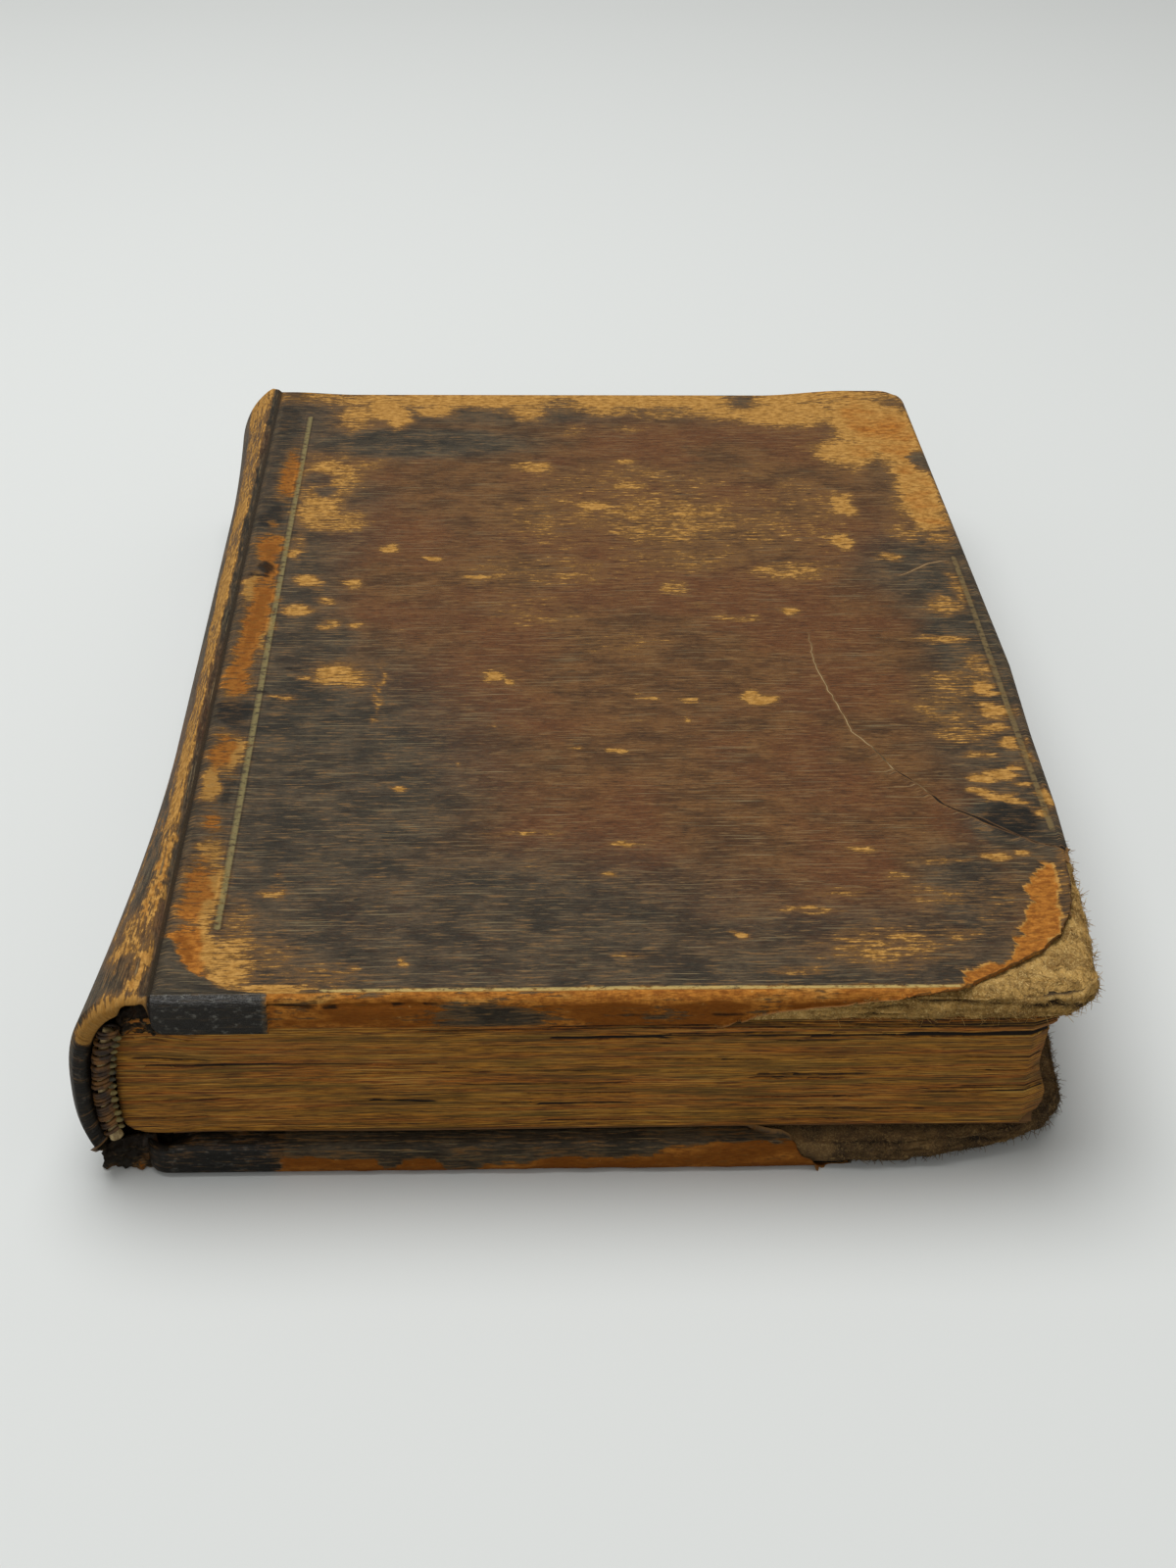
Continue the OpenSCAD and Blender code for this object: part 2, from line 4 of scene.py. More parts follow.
import bpy
import numpy as np
from mathutils import Matrix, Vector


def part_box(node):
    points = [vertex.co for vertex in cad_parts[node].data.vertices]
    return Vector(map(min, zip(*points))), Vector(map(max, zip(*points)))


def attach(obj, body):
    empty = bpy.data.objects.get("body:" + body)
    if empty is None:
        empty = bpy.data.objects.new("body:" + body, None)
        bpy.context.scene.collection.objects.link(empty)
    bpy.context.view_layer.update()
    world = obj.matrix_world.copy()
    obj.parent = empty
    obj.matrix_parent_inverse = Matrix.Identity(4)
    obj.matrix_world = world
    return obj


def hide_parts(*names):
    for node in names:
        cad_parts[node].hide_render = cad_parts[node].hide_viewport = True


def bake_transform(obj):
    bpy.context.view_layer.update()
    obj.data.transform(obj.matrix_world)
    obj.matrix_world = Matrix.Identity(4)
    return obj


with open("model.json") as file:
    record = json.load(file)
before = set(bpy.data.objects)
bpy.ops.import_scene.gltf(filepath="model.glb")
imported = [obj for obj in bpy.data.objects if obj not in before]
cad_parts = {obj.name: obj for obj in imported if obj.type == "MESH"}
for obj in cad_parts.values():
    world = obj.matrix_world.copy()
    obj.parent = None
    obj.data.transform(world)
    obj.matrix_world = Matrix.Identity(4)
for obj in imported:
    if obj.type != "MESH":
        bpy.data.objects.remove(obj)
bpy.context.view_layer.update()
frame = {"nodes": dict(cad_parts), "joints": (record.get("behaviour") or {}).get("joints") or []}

# Leaves. Eighteen sections of folded rag paper, sewn at their folds, beaten and cut to one size.
# The cut edges have never been gilt, so every leaf shows as a fine line, toned brown by smoke and handling.
# Near the back the folds and the sewing thread swell the leaves, which fans the lines apart.
MM = 0.001
HINGE_X = frame["joints"][1]["pos_m"][0] / MM
BOOK_T = frame["joints"][1]["pos_m"][2] / MM
MID_Z = BOOK_T / 2


def node_box(node):
    """Lowest and highest corner of a CAD node in millimetres, with X measured from the hinge line."""
    low, high = (np.array(corner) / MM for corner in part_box(node))
    return low - (HINGE_X, 0, 0), high - (HINGE_X, 0, 0)


def lattice(ix, iy, seed):
    """A fixed random number from 0 to 1 for each whole-numbered place."""
    mask = 0xFFFFFFFF
    n = (ix * 374761393 + iy * 668265263 + seed * 97463477) & mask
    n = ((n ^ (n >> 13)) * 1274126177) & mask
    return ((n ^ (n >> 16)) & 0xFFFF) / 65535


def noise(x, y=0.0, seed=0, octaves=1):
    """Smooth noise, about -1 to 1, one bump to each unit of x and y."""
    x, y = np.broadcast_arrays(np.asarray(x, float), np.asarray(y, float))
    total, reach = 0.0, 0.0
    for octave in range(octaves):
        scale, weight = 2.03**octave, 0.5**octave
        px, py = x * scale, y * scale
        ix, iy = np.floor(px).astype(np.int64), np.floor(py).astype(np.int64)
        fx, fy = px - ix, py - iy
        fx, fy = fx * fx * (3 - 2 * fx), fy * fy * (3 - 2 * fy)
        corner = [[lattice(ix + i, iy + j, seed + 17 * octave) for j in (0, 1)] for i in (0, 1)]
        near = corner[0][0] * (1 - fx) + corner[1][0] * fx
        far = corner[0][1] * (1 - fx) + corner[1][1] * fx
        total = total + weight * (2 * (near * (1 - fy) + far * fy) - 1)
        reach += weight
    return total / reach


def ease(value, start, end):
    """0 before start, 1 after end, and a smooth step between."""
    t = np.clip((value - start) / (end - start), 0, 1)
    return t * t * (3 - 2 * t)


def grid_faces(rows, columns, first=0, closed=False):
    """Quads of a grid numbered row by row. A closed one joins its last column to its first."""
    at = first + np.arange(rows * columns).reshape(rows, columns)
    if closed:
        at = np.hstack([at, at[:, :1]])
    corners = (at[:-1, :-1], at[:-1, 1:], at[1:, 1:], at[1:, :-1])
    return np.stack([c.ravel() for c in corners], 1)


def piece_from(name, points, faces, values=None, smooth=True):
    """A mesh piece from points in millimetres, X from the hinge line, with values kept at its points."""
    mesh = bpy.data.meshes.new(name)
    points = np.asarray(points, float)
    world = (points + (HINGE_X, 0, 0)) * MM
    mesh.from_pydata(world.tolist(), [], [list(map(int, face)) for face in faces])
    for key, value in (values or {}).items():
        value = np.asarray(value, np.float32)
        kind, slot = ("FLOAT_VECTOR", "vector") if value.ndim == 2 else ("FLOAT", "value")
        mesh.attributes.new(key, kind, "POINT").data.foreach_set(slot, value.ravel())
    mesh.validate()
    mesh.polygons.foreach_set("use_smooth", [smooth] * len(mesh.polygons))
    made = bpy.data.objects.new(name, mesh)
    bpy.context.scene.collection.objects.link(made)
    return made


def colour(code):
    """Linear colour of an sRGB hex code."""
    parts = [int(code[k : k + 2], 16) / 255 for k in (1, 3, 5)]
    return tuple(p / 12.92 if p <= 0.04045 else ((p + 0.055) / 1.055) ** 2.4 for p in parts) + (1,)


def add(tree, kind, settings, inputs):
    """Adds a shader node. Each input is a value, or a node or socket to link."""
    made = tree.nodes.new("ShaderNode" + kind)
    for key, value in settings.items():
        setattr(made, key, value)
    for key, value in inputs.items():
        if isinstance(value, bpy.types.Node):
            value = value.outputs[2 if value.bl_idname == "ShaderNodeMix" else 0]
        if isinstance(value, bpy.types.NodeSocket):
            tree.links.new(value, made.inputs[key])
        else:
            made.inputs[key].default_value = value
    return made


def material(name):
    """A new material's node tree, emptied."""
    made = bpy.data.materials.new(name)
    made.use_nodes = True
    made.node_tree.nodes.clear()
    return made, made.node_tree


def surface(tree, shade, bump=None, **settings):
    """Closes a material with a principled shader."""
    inputs = {key.replace("_", " "): value for key, value in settings.items()}
    inputs["Base Color"] = shade
    if bump is not None:
        inputs["Normal"] = bump
    shader = add(tree, "BsdfPrincipled", {}, inputs)
    add(tree, "OutputMaterial", {}, {"Surface": shader})


def paint(piece, made):
    piece.data.materials.clear()
    piece.data.materials.append(made)


MIX = {"data_type": "RGBA"}
MULTIPLY = {"data_type": "RGBA", "blend_type": "MULTIPLY"}
STEP = {"interpolation_type": "SMOOTHSTEP"}


def coated(tree, shade, coats):
    """Lays coats of colour over a shade. Each has a layer of noise, its values where the coat starts and is
    full, the coat's greatest share and its colour."""
    for layer, start, full, most, code in coats:
        share = add(tree, "MapRange", STEP, {0: layer, 1: start, 2: full, 4: most})
        shade = add(tree, "Mix", MIX, {0: share, 6: shade, 7: colour(code)})
    return shade


block_low, block_high = node_box("text_block")
BLOCK_HALF = block_high[1]
FOLD_ROUND = -block_low[0]
BODY_Z0 = node_box("back_flyleaf")[1][2] + 0.05
BODY_HALF = MID_Z - BODY_Z0
SHOULDER_X = -0.3
SWELL_LEN = 5.0
# The swell has been pressed flatter beside the back cover than beside the front one
SWELL_FRONT = 0.9
SWELL_BACK = 0.3
LEAF_LINES = 96
LEAF_RELIEF = 0.13
FORE_X = 107.6
# The fore edge in section, from its thumbed lower corner up to the first leaves, which stand out
FORE_SHARE = [-1.0, -0.96, -0.88, -0.73, -0.5, -0.07, 0.13, 0.64, 0.86, 1.0]
FORE_OUT = [-2.7, -1.3, -0.4, 0.1, 0.2, -0.8, -0.9, -0.4, 0.7, 1.9]


def leaves_height(x, share):
    """Height of a leaf above the base: share is -1 for the last leaf and 1 for the first one."""
    swell = np.where(share > 0, SWELL_FRONT, SWELL_BACK)
    return MID_Z + share * (BODY_HALF + swell * np.clip(1 - (x - SHOULDER_X) / SWELL_LEN, 0, 1) ** 1.4)


def leaf_number(along, share):
    """The leaf that shows at a place of a cut edge: leaves wave a little along the edge."""
    wave = 1.5 * noise(along / 25, share * 2.2, 1) + 0.6 * noise(along / 8, share * 5, 2)
    return (share + 1) / 2 * LEAF_LINES + wave


def leaf_gaps(along, leaf):
    """Where two leaves part: long narrow gaps, most of them beside the front cover."""
    row = np.floor(leaf)
    loose = ease(row, LEAF_LINES - 22, LEAF_LINES - 10) * ease(along, 20, 55)
    parted = noise(along / 26, row * 3.7, 6, 2) + 0.75 * loose
    return ease(parted, 0.42, 0.6) * (noise(row * 5.3, 0.5, 7) > 0.05)


def leaf_relief(along, leaf):
    """How far a leaf stands out of the cut edge, below zero where leaves have parted."""
    row = np.floor(leaf)
    fine = noise(along / 9, row * 1.7, 3) + 0.6 * noise(along / 2.5, row * 1.7, 4)
    return LEAF_RELIEF * 0.6 * fine - 0.75 * leaf_gaps(along, leaf)


def text_block_piece():
    """The leaves as one closed piece, its cut edges in relief. At the tail the folds stand in a nearly flat
    row, because the back has opened there."""
    shares = np.linspace(-1, 1, 2 * LEAF_LINES + 1)
    from_back = np.concatenate([np.linspace(0, 6.1, 12)[:-1], np.linspace(6.1, 105.1, 120)])
    fore_y = np.linspace(-BLOCK_HALF, BLOCK_HALF, 150)
    back_y = np.array([88.0, 0, -70, -78, -84, -88])
    points, where = [], []
    for share in shares:
        arc_x = -FOLD_ROUND * math.sqrt(max(0, 1 - share**2)) * 0.96
        flat_x = -(FOLD_ROUND + 0.2) * (1 - abs(share) ** 8) ** (1 / 2.2) - 0.1
        runs = {}
        for end, side, shift in (("tail", -1, 0), ("head", 1, 500)):
            back_x = flat_x if end == "tail" else arc_x
            x = back_x + from_back * (105 - back_x) / 105.1
            leaf = leaf_number(x + shift, share)
            out = leaf_relief(x + shift, leaf)
            gash = 0.0
            if end == "tail":
                # Three short gashes in a row, low in the tail edge
                z = leaves_height(x, share)
                for place, height, length in ((28.9, 9.9, 1.4), (31.4, 9.7, 1.2), (25.6, 10.0, 0.6)):
                    gash = gash + 0.7 * np.exp(-(((x - place) / length) ** 2) - ((z - height) / 0.14) ** 2)
            y = side * (BLOCK_HALF + out + 0.05 - gash)
            runs[end] = (np.column_stack([x, y, leaves_height(x, share)]), x + shift, leaf, -out + gash)
        leaf = leaf_number(fore_y + 200, share)
        out = leaf_relief(fore_y + 200, leaf)
        ends = ease(BLOCK_HALF - np.abs(fore_y), 0, 1.5)
        x = FORE_X + np.interp(share, FORE_SHARE, FORE_OUT) + out - 0.4 * (1 - ends)
        x = x + 0.35 * noise(fore_y / 40, share * 1.5, 9)
        fore = np.column_stack([x, fore_y, np.full_like(fore_y, MID_Z + share * BODY_HALF)])
        near = ease(-back_y, 66, 88)
        back_z = np.full(len(back_y), leaves_height(arc_x, share))
        back = np.column_stack([arc_x + (flat_x - arc_x) * near, back_y, back_z])
        tail, head = runs["tail"], runs["head"]
        points.append(np.concatenate([tail[0], fore[1:-1], head[0][::-1], back]))
        along = np.concatenate([tail[1], fore_y[1:-1] + 200, head[1][::-1], back_y * 0])
        number = np.concatenate([tail[2], leaf[1:-1], head[2][::-1], back_y * 0])
        deep = np.concatenate([tail[3], -out[1:-1], head[3][::-1], back_y * 0])
        where.append(np.column_stack([along, number, deep]))
    rows, columns, strip = len(shares), len(points[0]), len(from_back)
    faces = grid_faces(rows, columns, closed=True).tolist()
    for base in (0, (rows - 1) * columns):
        head_end = columns - 1 - len(back_y)
        far = base + head_end
        flat = [[base + k, base + k + 1, far - 1 - k, far - k] for k in range(strip - 1)]
        flat.append([base + k for k in range(strip - 1, head_end - strip + 2)])
        flat.append([base] + [far + k for k in range(len(back_y) + 1)])
        faces += flat if base else [face[::-1] for face in flat]
    return piece_from("leaves", np.concatenate(points), faces, {"leaf": np.concatenate(where)})


def leaf_edge_paper():
    """Rag paper at its cut edges, stained ochre to umber by smoke and handling, in streaks along the leaves.
    A leaf is 0.1 mm thick; the streaks are drawn one or two leaves wide, which is the finest that shows."""
    made, tree = material("rag_paper_cut_edges")
    leaf = add(tree, "Attribute", {"attribute_name": "leaf"}, {}).outputs["Vector"]
    gap = add(tree, "SeparateXYZ", {}, {0: leaf}).outputs[2]
    stretched = [
        add(tree, "VectorMath", {"operation": "MULTIPLY"}, {0: leaf, 1: scale})
        for scale in ((0.30, 1.25, 0), (0.055, 1.4, 0), (0.02, 0.13, 0), (0.05, 0.14, 0), (1.3, 1.8, 0))
    ]
    dashes, lines, bands, stains, grit = (
        add(tree, "TexNoise", {}, {"Vector": v, "Scale": 1.0, "Detail": 4.0, "Roughness": 0.65})
        for v in stretched
    )
    tone = add(tree, "MapRange", STEP, {0: dashes, 1: 0.36, 2: 0.62})
    shade = add(tree, "Mix", MIX, {0: tone, 6: colour("#5f3e09"), 7: colour("#bf8e33")})
    warm = add(tree, "MapRange", STEP, {0: bands, 1: 0.42, 2: 0.60})
    stain = add(tree, "Mix", MIX, {0: warm, 6: colour("#ecd486"), 7: colour("#e2a551")})
    shade = add(tree, "Mix", MULTIPLY, {0: 0.8, 6: shade, 7: stain})
    # The last coat darkens the places where leaves have parted, and the gashes, to near black: painted shade
    # in these recesses
    shade = coated(tree, shade, (
        (lines, 0.53, 0.64, 0.8, "#c79a45"), (stains, 0.46, 0.64, 0.7, "#55420f"),
        (lines, 0.47, 0.36, 0.85, "#301d04"), (grit, 0.40, 0.30, 0.7, "#452f12"),
        (gap, 0.06, 0.30, 1.0, "#1c1206")))
    height = add(tree, "Math", {"operation": "ADD"}, {0: dashes, 1: lines})
    bump = add(tree, "Bump", {}, {"Strength": 0.5, "Distance": 0.0002, "Height": height})
    surface(tree, shade, bump, Roughness=0.85)
    return made


leaves = text_block_piece()
paint(leaves, leaf_edge_paper())
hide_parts("text_block")
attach(leaves, "text_block")

# Endpapers. Blank leaves beside each cover, and the sheet pasted down inside it over the turned-in leather.
# The loose ones have crept out past the others and wave a little.
# The pasted ones are dark brown along their edges: stained by the leather, and painted shade where they lie
# in shadow inside the covers.


def endpaper(name, low, high, edge):
    """Laid paper toned by age: darker and browner towards the edges of the sheet, foxed in small spots. On
    the pastedowns the dark edge is partly painted shade.
    """
    made, tree = material(name)
    place = add(tree, "TexCoord", {}, {}).outputs["Object"]
    fibres = add(tree, "TexNoise", {}, {"Vector": place, "Scale": 900.0, "Detail": 4.0})
    cloud = add(tree, "TexNoise", {}, {"Vector": place, "Scale": 28.0, "Detail": 5.0, "Roughness": 0.6})
    foxing = add(tree, "TexNoise", {}, {"Vector": place, "Scale": 160.0, "Detail": 2.0})
    parts = add(tree, "SeparateXYZ", {}, {0: place})
    edges = None
    for axis in (0, 1):
        middle, half = (low[axis] + high[axis]) / 2 * MM, (high[axis] - low[axis]) / 2 * MM
        off = add(tree, "Math", {"operation": "SUBTRACT"}, {0: parts.outputs[axis], 1: middle})
        far = add(tree, "Math", {"operation": "ABSOLUTE"}, {0: off})
        near = add(tree, "MapRange", STEP, {0: far, 1: half - 0.014, 2: half})
        edges = near if edges is None else add(tree, "Math", {"operation": "MAXIMUM"}, {0: edges, 1: near})
    toned = add(tree, "Math", {"operation": "MULTIPLY_ADD"}, {0: cloud, 1: 1.5, 2: edges})
    brown = add(tree, "MapRange", STEP, {0: toned, 1: 0.5, 2: 1.6})
    shade = add(tree, "Mix", MIX, {0: brown, 6: colour("#c9b184"), 7: colour(edge)})
    shade = coated(tree, shade, [(foxing, 0.68, 0.74, 0.5, "#8a5a2c")])
    tint = add(tree, "MapRange", {}, {0: fibres, 1: 0.3, 2: 0.7, 3: 0.85, 4: 1.05})
    shade = add(tree, "Mix", MULTIPLY, {0: 1.0, 6: shade, 7: tint})
    bump = add(tree, "Bump", {}, {"Strength": 0.25, "Distance": 0.0001, "Height": fibres})
    surface(tree, shade, bump, Roughness=0.9)
    return made


def loose_leaves(name, z0, z1, count, side, crept, seed):
    """Thin waving sheets, one over the other, between the other leaves and a cover."""
    sheets = []
    reach = node_box("front_flyleaf")[1][0]
    sheet_t = 0.06
    xs = np.concatenate([np.linspace(0.6, 6, 6), np.linspace(8, reach, 60)])
    ys = np.linspace(-BLOCK_HALF, BLOCK_HALF, 80)
    for k in range(count):
        x, y = np.meshgrid(xs, ys)
        swell = leaves_height(x, side) - leaves_height(60.0, side)
        wave = 0.05 * noise(x / 17, y / 25 + k * 5, seed + k)
        z = z0 + (z1 - z0) * (k + 0.5) / count + swell + wave
        z = z - side * ease(x, 99, 111) * (0.12 + 0.16 * noise(y / 22, k * 2.1, seed + 4))
        corner = 0.9 * ease(np.abs(y), BLOCK_HALF - 5, BLOCK_HALF) ** 2 * ease(x, 104, 110)
        back_by = crept + 0.6 * k / count + 0.25 * noise(y / 19, k * 1.3, seed + 2)
        x = x - ease(x, 60, 110) * back_by - corner
        short_by = 0.15 - 0.4 * noise(x / 31, k * 4.4, seed + 3)
        y = y - np.sign(y) * short_by * ease(np.abs(y), BLOCK_HALF - 4, BLOCK_HALF)
        rows, columns = x.shape
        top = np.stack([x, y, z + sheet_t / 2], -1).reshape(-1, 3)
        faces = grid_faces(rows, columns).tolist()
        faces += grid_faces(rows, columns, len(top))[:, ::-1].tolist()
        at = np.arange(rows * columns).reshape(rows, columns)
        loop = np.concatenate([at[0, :-1], at[:-1, -1], at[-1, :0:-1], at[:0:-1, 0]])
        after = np.roll(loop, -1)
        faces += np.stack([loop + len(top), after + len(top), after, loop], 1).tolist()
        sheets.append((np.concatenate([top, top - (0, 0, sheet_t)]), faces))
    return piece_from(name, *joined(sheets))


def joined(parts):
    """Points and faces of several meshes as one."""
    points, faces, first = [], [], 0
    for part_points, part_faces in parts:
        points.append(part_points)
        faces += [[first + k for k in face] for face in part_faces]
        first += len(part_points)
    return np.concatenate(points), faces


FLYLEAF_T = 0.4
for side, name, count, crept in ((1, "front", 3, 0.25), (-1, "back", 2, 3.4)):
    low, high = node_box(f"{name}_flyleaf")
    inner = MID_Z + side * BODY_HALF
    outer = inner + side * FLYLEAF_T
    sheets = loose_leaves(f"{name}_flyleaves", inner, outer, count, side, crept, 40 + 7 * count)
    ends = (low + (HINGE_X, 0, 0), high + (HINGE_X, 0, 0))
    paint(sheets, endpaper(f"laid_paper_{name}_leaves", *ends, "#7a5730"))
    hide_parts(f"{name}_flyleaf")
    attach(sheets, "text_block")
    low, high = node_box(f"{name}_pastedown")
    pasted = frame["nodes"][f"{name}_pastedown"]
    ends = (low + (HINGE_X, 0, 0), high + (HINGE_X, 0, 0))
    # The pastedowns' dark brown edge colour is partly painted shade
    paint(pasted, endpaper(f"laid_paper_{name}_pastedown", *ends, "#3d2a17"))

# Sewing. Five hemp cords sunk in saw cuts across the folds, their ends laced through the boards and frayed.
# Glue has browned them. A strip of waste paper is pasted over the folds and a card stiffens the hollow back.


def hemp_cord():
    """Two-ply hemp, glued: the twist shows as slanted ribs about 1 mm apart, painted darker in the grooves
    between them as shade.
    """
    made, tree = material("hemp_cord")
    place = add(tree, "TexCoord", {}, {}).outputs["Object"]
    twist = add(tree, "TexWave", {"bands_direction": "DIAGONAL"}, {
        "Vector": place, "Scale": 320.0, "Distortion": 2.0, "Detail": 2.0})
    fibre = add(tree, "TexNoise", {}, {"Vector": place, "Scale": 1800.0, "Detail": 3.0})
    shade = add(tree, "Mix", MIX, {0: twist, 6: colour("#7d5f35"), 7: colour("#c2a472")})
    tint = add(tree, "MapRange", {}, {0: fibre, 1: 0.3, 2: 0.7, 3: 0.7, 4: 1.1})
    shade = add(tree, "Mix", MULTIPLY, {0: 1.0, 6: shade, 7: tint})
    bump = add(tree, "Bump", {}, {"Strength": 0.6, "Distance": 0.0002, "Height": twist})
    surface(tree, shade, bump, Roughness=0.9)
    return made


def waste_paper(name, base, dark):
    """Brown pulp paper or card stiff with glue: mottled, with coarse fibres."""
    made, tree = material(name)
    place = add(tree, "TexCoord", {}, {}).outputs["Object"]
    mottle = add(tree, "TexNoise", {}, {"Vector": place, "Scale": 140.0, "Detail": 6.0, "Roughness": 0.65})
    fibre = add(tree, "TexNoise", {}, {"Vector": place, "Scale": 1300.0, "Detail": 3.0})
    spread = add(tree, "MapRange", STEP, {0: mottle, 1: 0.35, 2: 0.65})
    shade = add(tree, "Mix", MIX, {0: spread, 6: colour(dark), 7: colour(base)})
    bump = add(tree, "Bump", {}, {"Strength": 0.5, "Distance": 0.0002, "Height": fibre})
    surface(tree, shade, bump, Roughness=0.92)
    return made


hemp = hemp_cord()
for k in range(1, 6):
    for kind in ("sewing_cord", "back_slip", "front_slip"):
        paint(frame["nodes"][f"{kind}_{k}"], hemp)
paint(frame["nodes"]["spine_lining"], waste_paper("glued_lining_paper", "#7a5c34", "#4d361c"))
paint(frame["nodes"]["spine_card"], waste_paper("spine_card", "#6b5233", "#3a2a18"))

# Endbands. A rolled linen core lies across the ends of the folds, and silk is wound on it in slanting turns,
# two colours by turns, with a row of beads where each turn locks against the leaves.
# At the tail the band has come loose, and its core shows at the lower end.
BAND_CORE_D = 1.3
SILK_D = 0.46
BAND_PITCH = 1.05


def tube(path, radius, sides):
    """Points and faces of a round tube along a path, closed at its ends."""
    path = np.asarray(path, float)
    radius = np.broadcast_to(np.asarray(radius, float), len(path))
    along = np.gradient(path, axis=0)
    along /= np.linalg.norm(along, axis=1)[:, None]
    side = np.cross(along, (0.13, 0.98, 0.21))
    side /= np.linalg.norm(side, axis=1)[:, None]
    up = np.cross(side, along)
    turn = np.arange(sides) * 2 * math.pi / sides
    ring = side[:, None] * np.cos(turn)[:, None] + up[:, None] * np.sin(turn)[:, None]
    points = (path[:, None] + ring * radius[:, None, None]).reshape(-1, 3)
    faces = grid_faces(len(path), sides, closed=True).tolist()
    last = (len(path) - 1) * sides
    faces += [list(range(sides))[::-1], [last + k for k in range(sides)]]
    return points, faces


def band_arc(side, name):
    """Centre, radius and angles of an endband's arc. At the tail the opened back has let it straighten."""
    core_low, core_high = node_box(f"{name}_endband_core")
    silk_low, silk_high = node_box(f"{name}_endband_thread")
    rise = (silk_high[2] - silk_low[2]) / 2
    centre_y = (core_low[1] + core_high[1]) / 2
    if side < 0:
        arc_r, centre_x, middle = 29.0, -6.9 + 29.0, 13.0
        return arc_r, centre_x, centre_y, middle, math.asin(9.3 / arc_r), math.asin(5.9 / arc_r)
    half_core = (core_high[2] - core_low[2]) / 2
    sag = core_high[0] - core_low[0] - BAND_CORE_D
    arc_r = (half_core**2 + sag**2) / (2 * sag)
    reach = math.asin(min(1, (rise - 0.25) / arc_r))
    return arc_r, core_low[0] + BAND_CORE_D / 2 + arc_r, centre_y, MID_Z, reach, reach


def endband(side, name, seed):
    """One endband: its core, the slanted turns of silk over it, and the beads along its inner side."""
    arc_r, centre_x, centre_y, middle_z, up, low = band_arc(side, name)
    turns = int((up + low) * arc_r / BAND_PITCH)
    wound, beads = [], []
    spread = 1.3 if side < 0 else 1.0
    for k in range(turns):
        for strand in (0, 1):
            place = (k + 0.25 + 0.5 * strand) / turns * (up + low) - low
            around = np.linspace(0, 2 * math.pi, 19)
            lean = 0.45 * BAND_PITCH / arc_r * np.cos(around)
            angle = math.pi - place + lean + 0.3 / arc_r * noise(k, strand, seed)
            ring = BAND_CORE_D / 2 + SILK_D / 2 - 0.02 + 0.05 * noise(k * 1.7, strand * 2.3, seed)
            out = arc_r + ring * spread * np.cos(around)
            path = np.stack([centre_x + out * np.cos(angle),
                centre_y + ring * np.sin(around), middle_z + out * np.sin(angle)], 1)
            wound.append(tube(path, SILK_D / 2 * (1.02 + 0.16 * noise(k * 2.3, strand, seed + 1)), 7))
        angle = math.pi - ((k + 0.5) / turns * (up + low) - low)
        bead_r = arc_r - BAND_CORE_D / 2 * spread - 0.35
        spot = np.array([centre_x + bead_r * math.cos(angle),
            centre_y + side * 0.5, middle_z + bead_r * math.sin(angle)])
        lean = np.array([-math.cos(angle) * 1.6, 0.5 * side, 0.55])
        lean /= np.linalg.norm(lean)
        size = 0.52 + 0.08 * noise(k * 2.9, 1, seed)
        steps = np.linspace(-1, 1, 9)
        beads.append(tube(spot + lean * steps[:, None] * size * 1.25,
            np.sqrt(np.clip(1.02 - steps**2, 0.02, 1)) * size * 0.62, 8))
    turn = math.pi + np.linspace(low + 1.3 / arc_r * (side < 0), -up, 60)
    path = np.stack([centre_x + arc_r * np.cos(turn), np.full(len(turn), centre_y),
        middle_z + arc_r * np.sin(turn)], 1)
    thick = BAND_CORE_D / 2 * (1 + 0.35 * (side < 0) * ease(-np.arange(60.0), -6, 0))
    return joined(wound), joined(beads), tube(path, thick, 12)


def silk(name, light, dark, spacing):
    """Faded spun silk, darkened in blotches."""
    made, tree = material(name)
    place = add(tree, "TexCoord", {}, {}).outputs["Object"]
    dirt_and_shadow = add(tree, "TexNoise", {}, {"Vector": place, "Scale": spacing, "Detail": 4.0, "Roughness": 0.6})
    fibre = add(tree, "TexNoise", {}, {"Vector": place, "Scale": 3500.0, "Detail": 2.0})
    grime_and_shadow = add(tree, "MapRange", STEP, {0: dirt_and_shadow, 1: 0.36, 2: 0.66})
    shade = add(tree, "Mix", MIX, {0: grime_and_shadow, 6: colour(dark), 7: colour(light)})
    bump = add(tree, "Bump", {}, {"Strength": 0.5, "Distance": 0.0001, "Height": fibre})
    surface(tree, shade, bump, Roughness=0.7)
    return made


wound_silk = silk("faded_brown_silk", "#6e4815", "#231406", 520.0)
bead_silk = silk("faded_green_and_cream_silk", "#7c6d3a", "#272210", 420.0)
linen = silk("cream_linen_core", "#b9a475", "#6f5a36", 900.0)
for side, name in ((-1, "tail"), (1, "head")):
    wound, beads, core = endband(side, name, 60 + side)
    wound_piece = piece_from(f"{name}_endband_silk", *wound)
    paint(wound_piece, wound_silk)
    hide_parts(f"{name}_endband_thread")
    beads_piece = piece_from(f"{name}_endband_beads", *beads)
    paint(beads_piece, bead_silk)
    for made in (wound_piece, beads_piece):
        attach(made, "text_block")
    core_piece = piece_from(f"{name}_endband_cord", *core)
    paint(core_piece, linen)
    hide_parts(f"{name}_endband_core")
    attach(core_piece, "text_block")

# Boards. Pasteboard, sheets of waste paper pasted together and pressed, 3.4 mm thick.
# Where the leather has worn off, at the tail and fore corner, the sheets have opened, swollen and frayed.
COVER_LOW, COVER_HIGH = node_box("front_leather")
COVER_W = COVER_HIGH[0]
HALF_LEN = COVER_HIGH[1]
INNER_T = BOOK_T - COVER_LOW[2]
LEATHER_T = 0.8
TURN_IN_T = 0.5
BOARD_T = INNER_T - LEATHER_T - TURN_IN_T
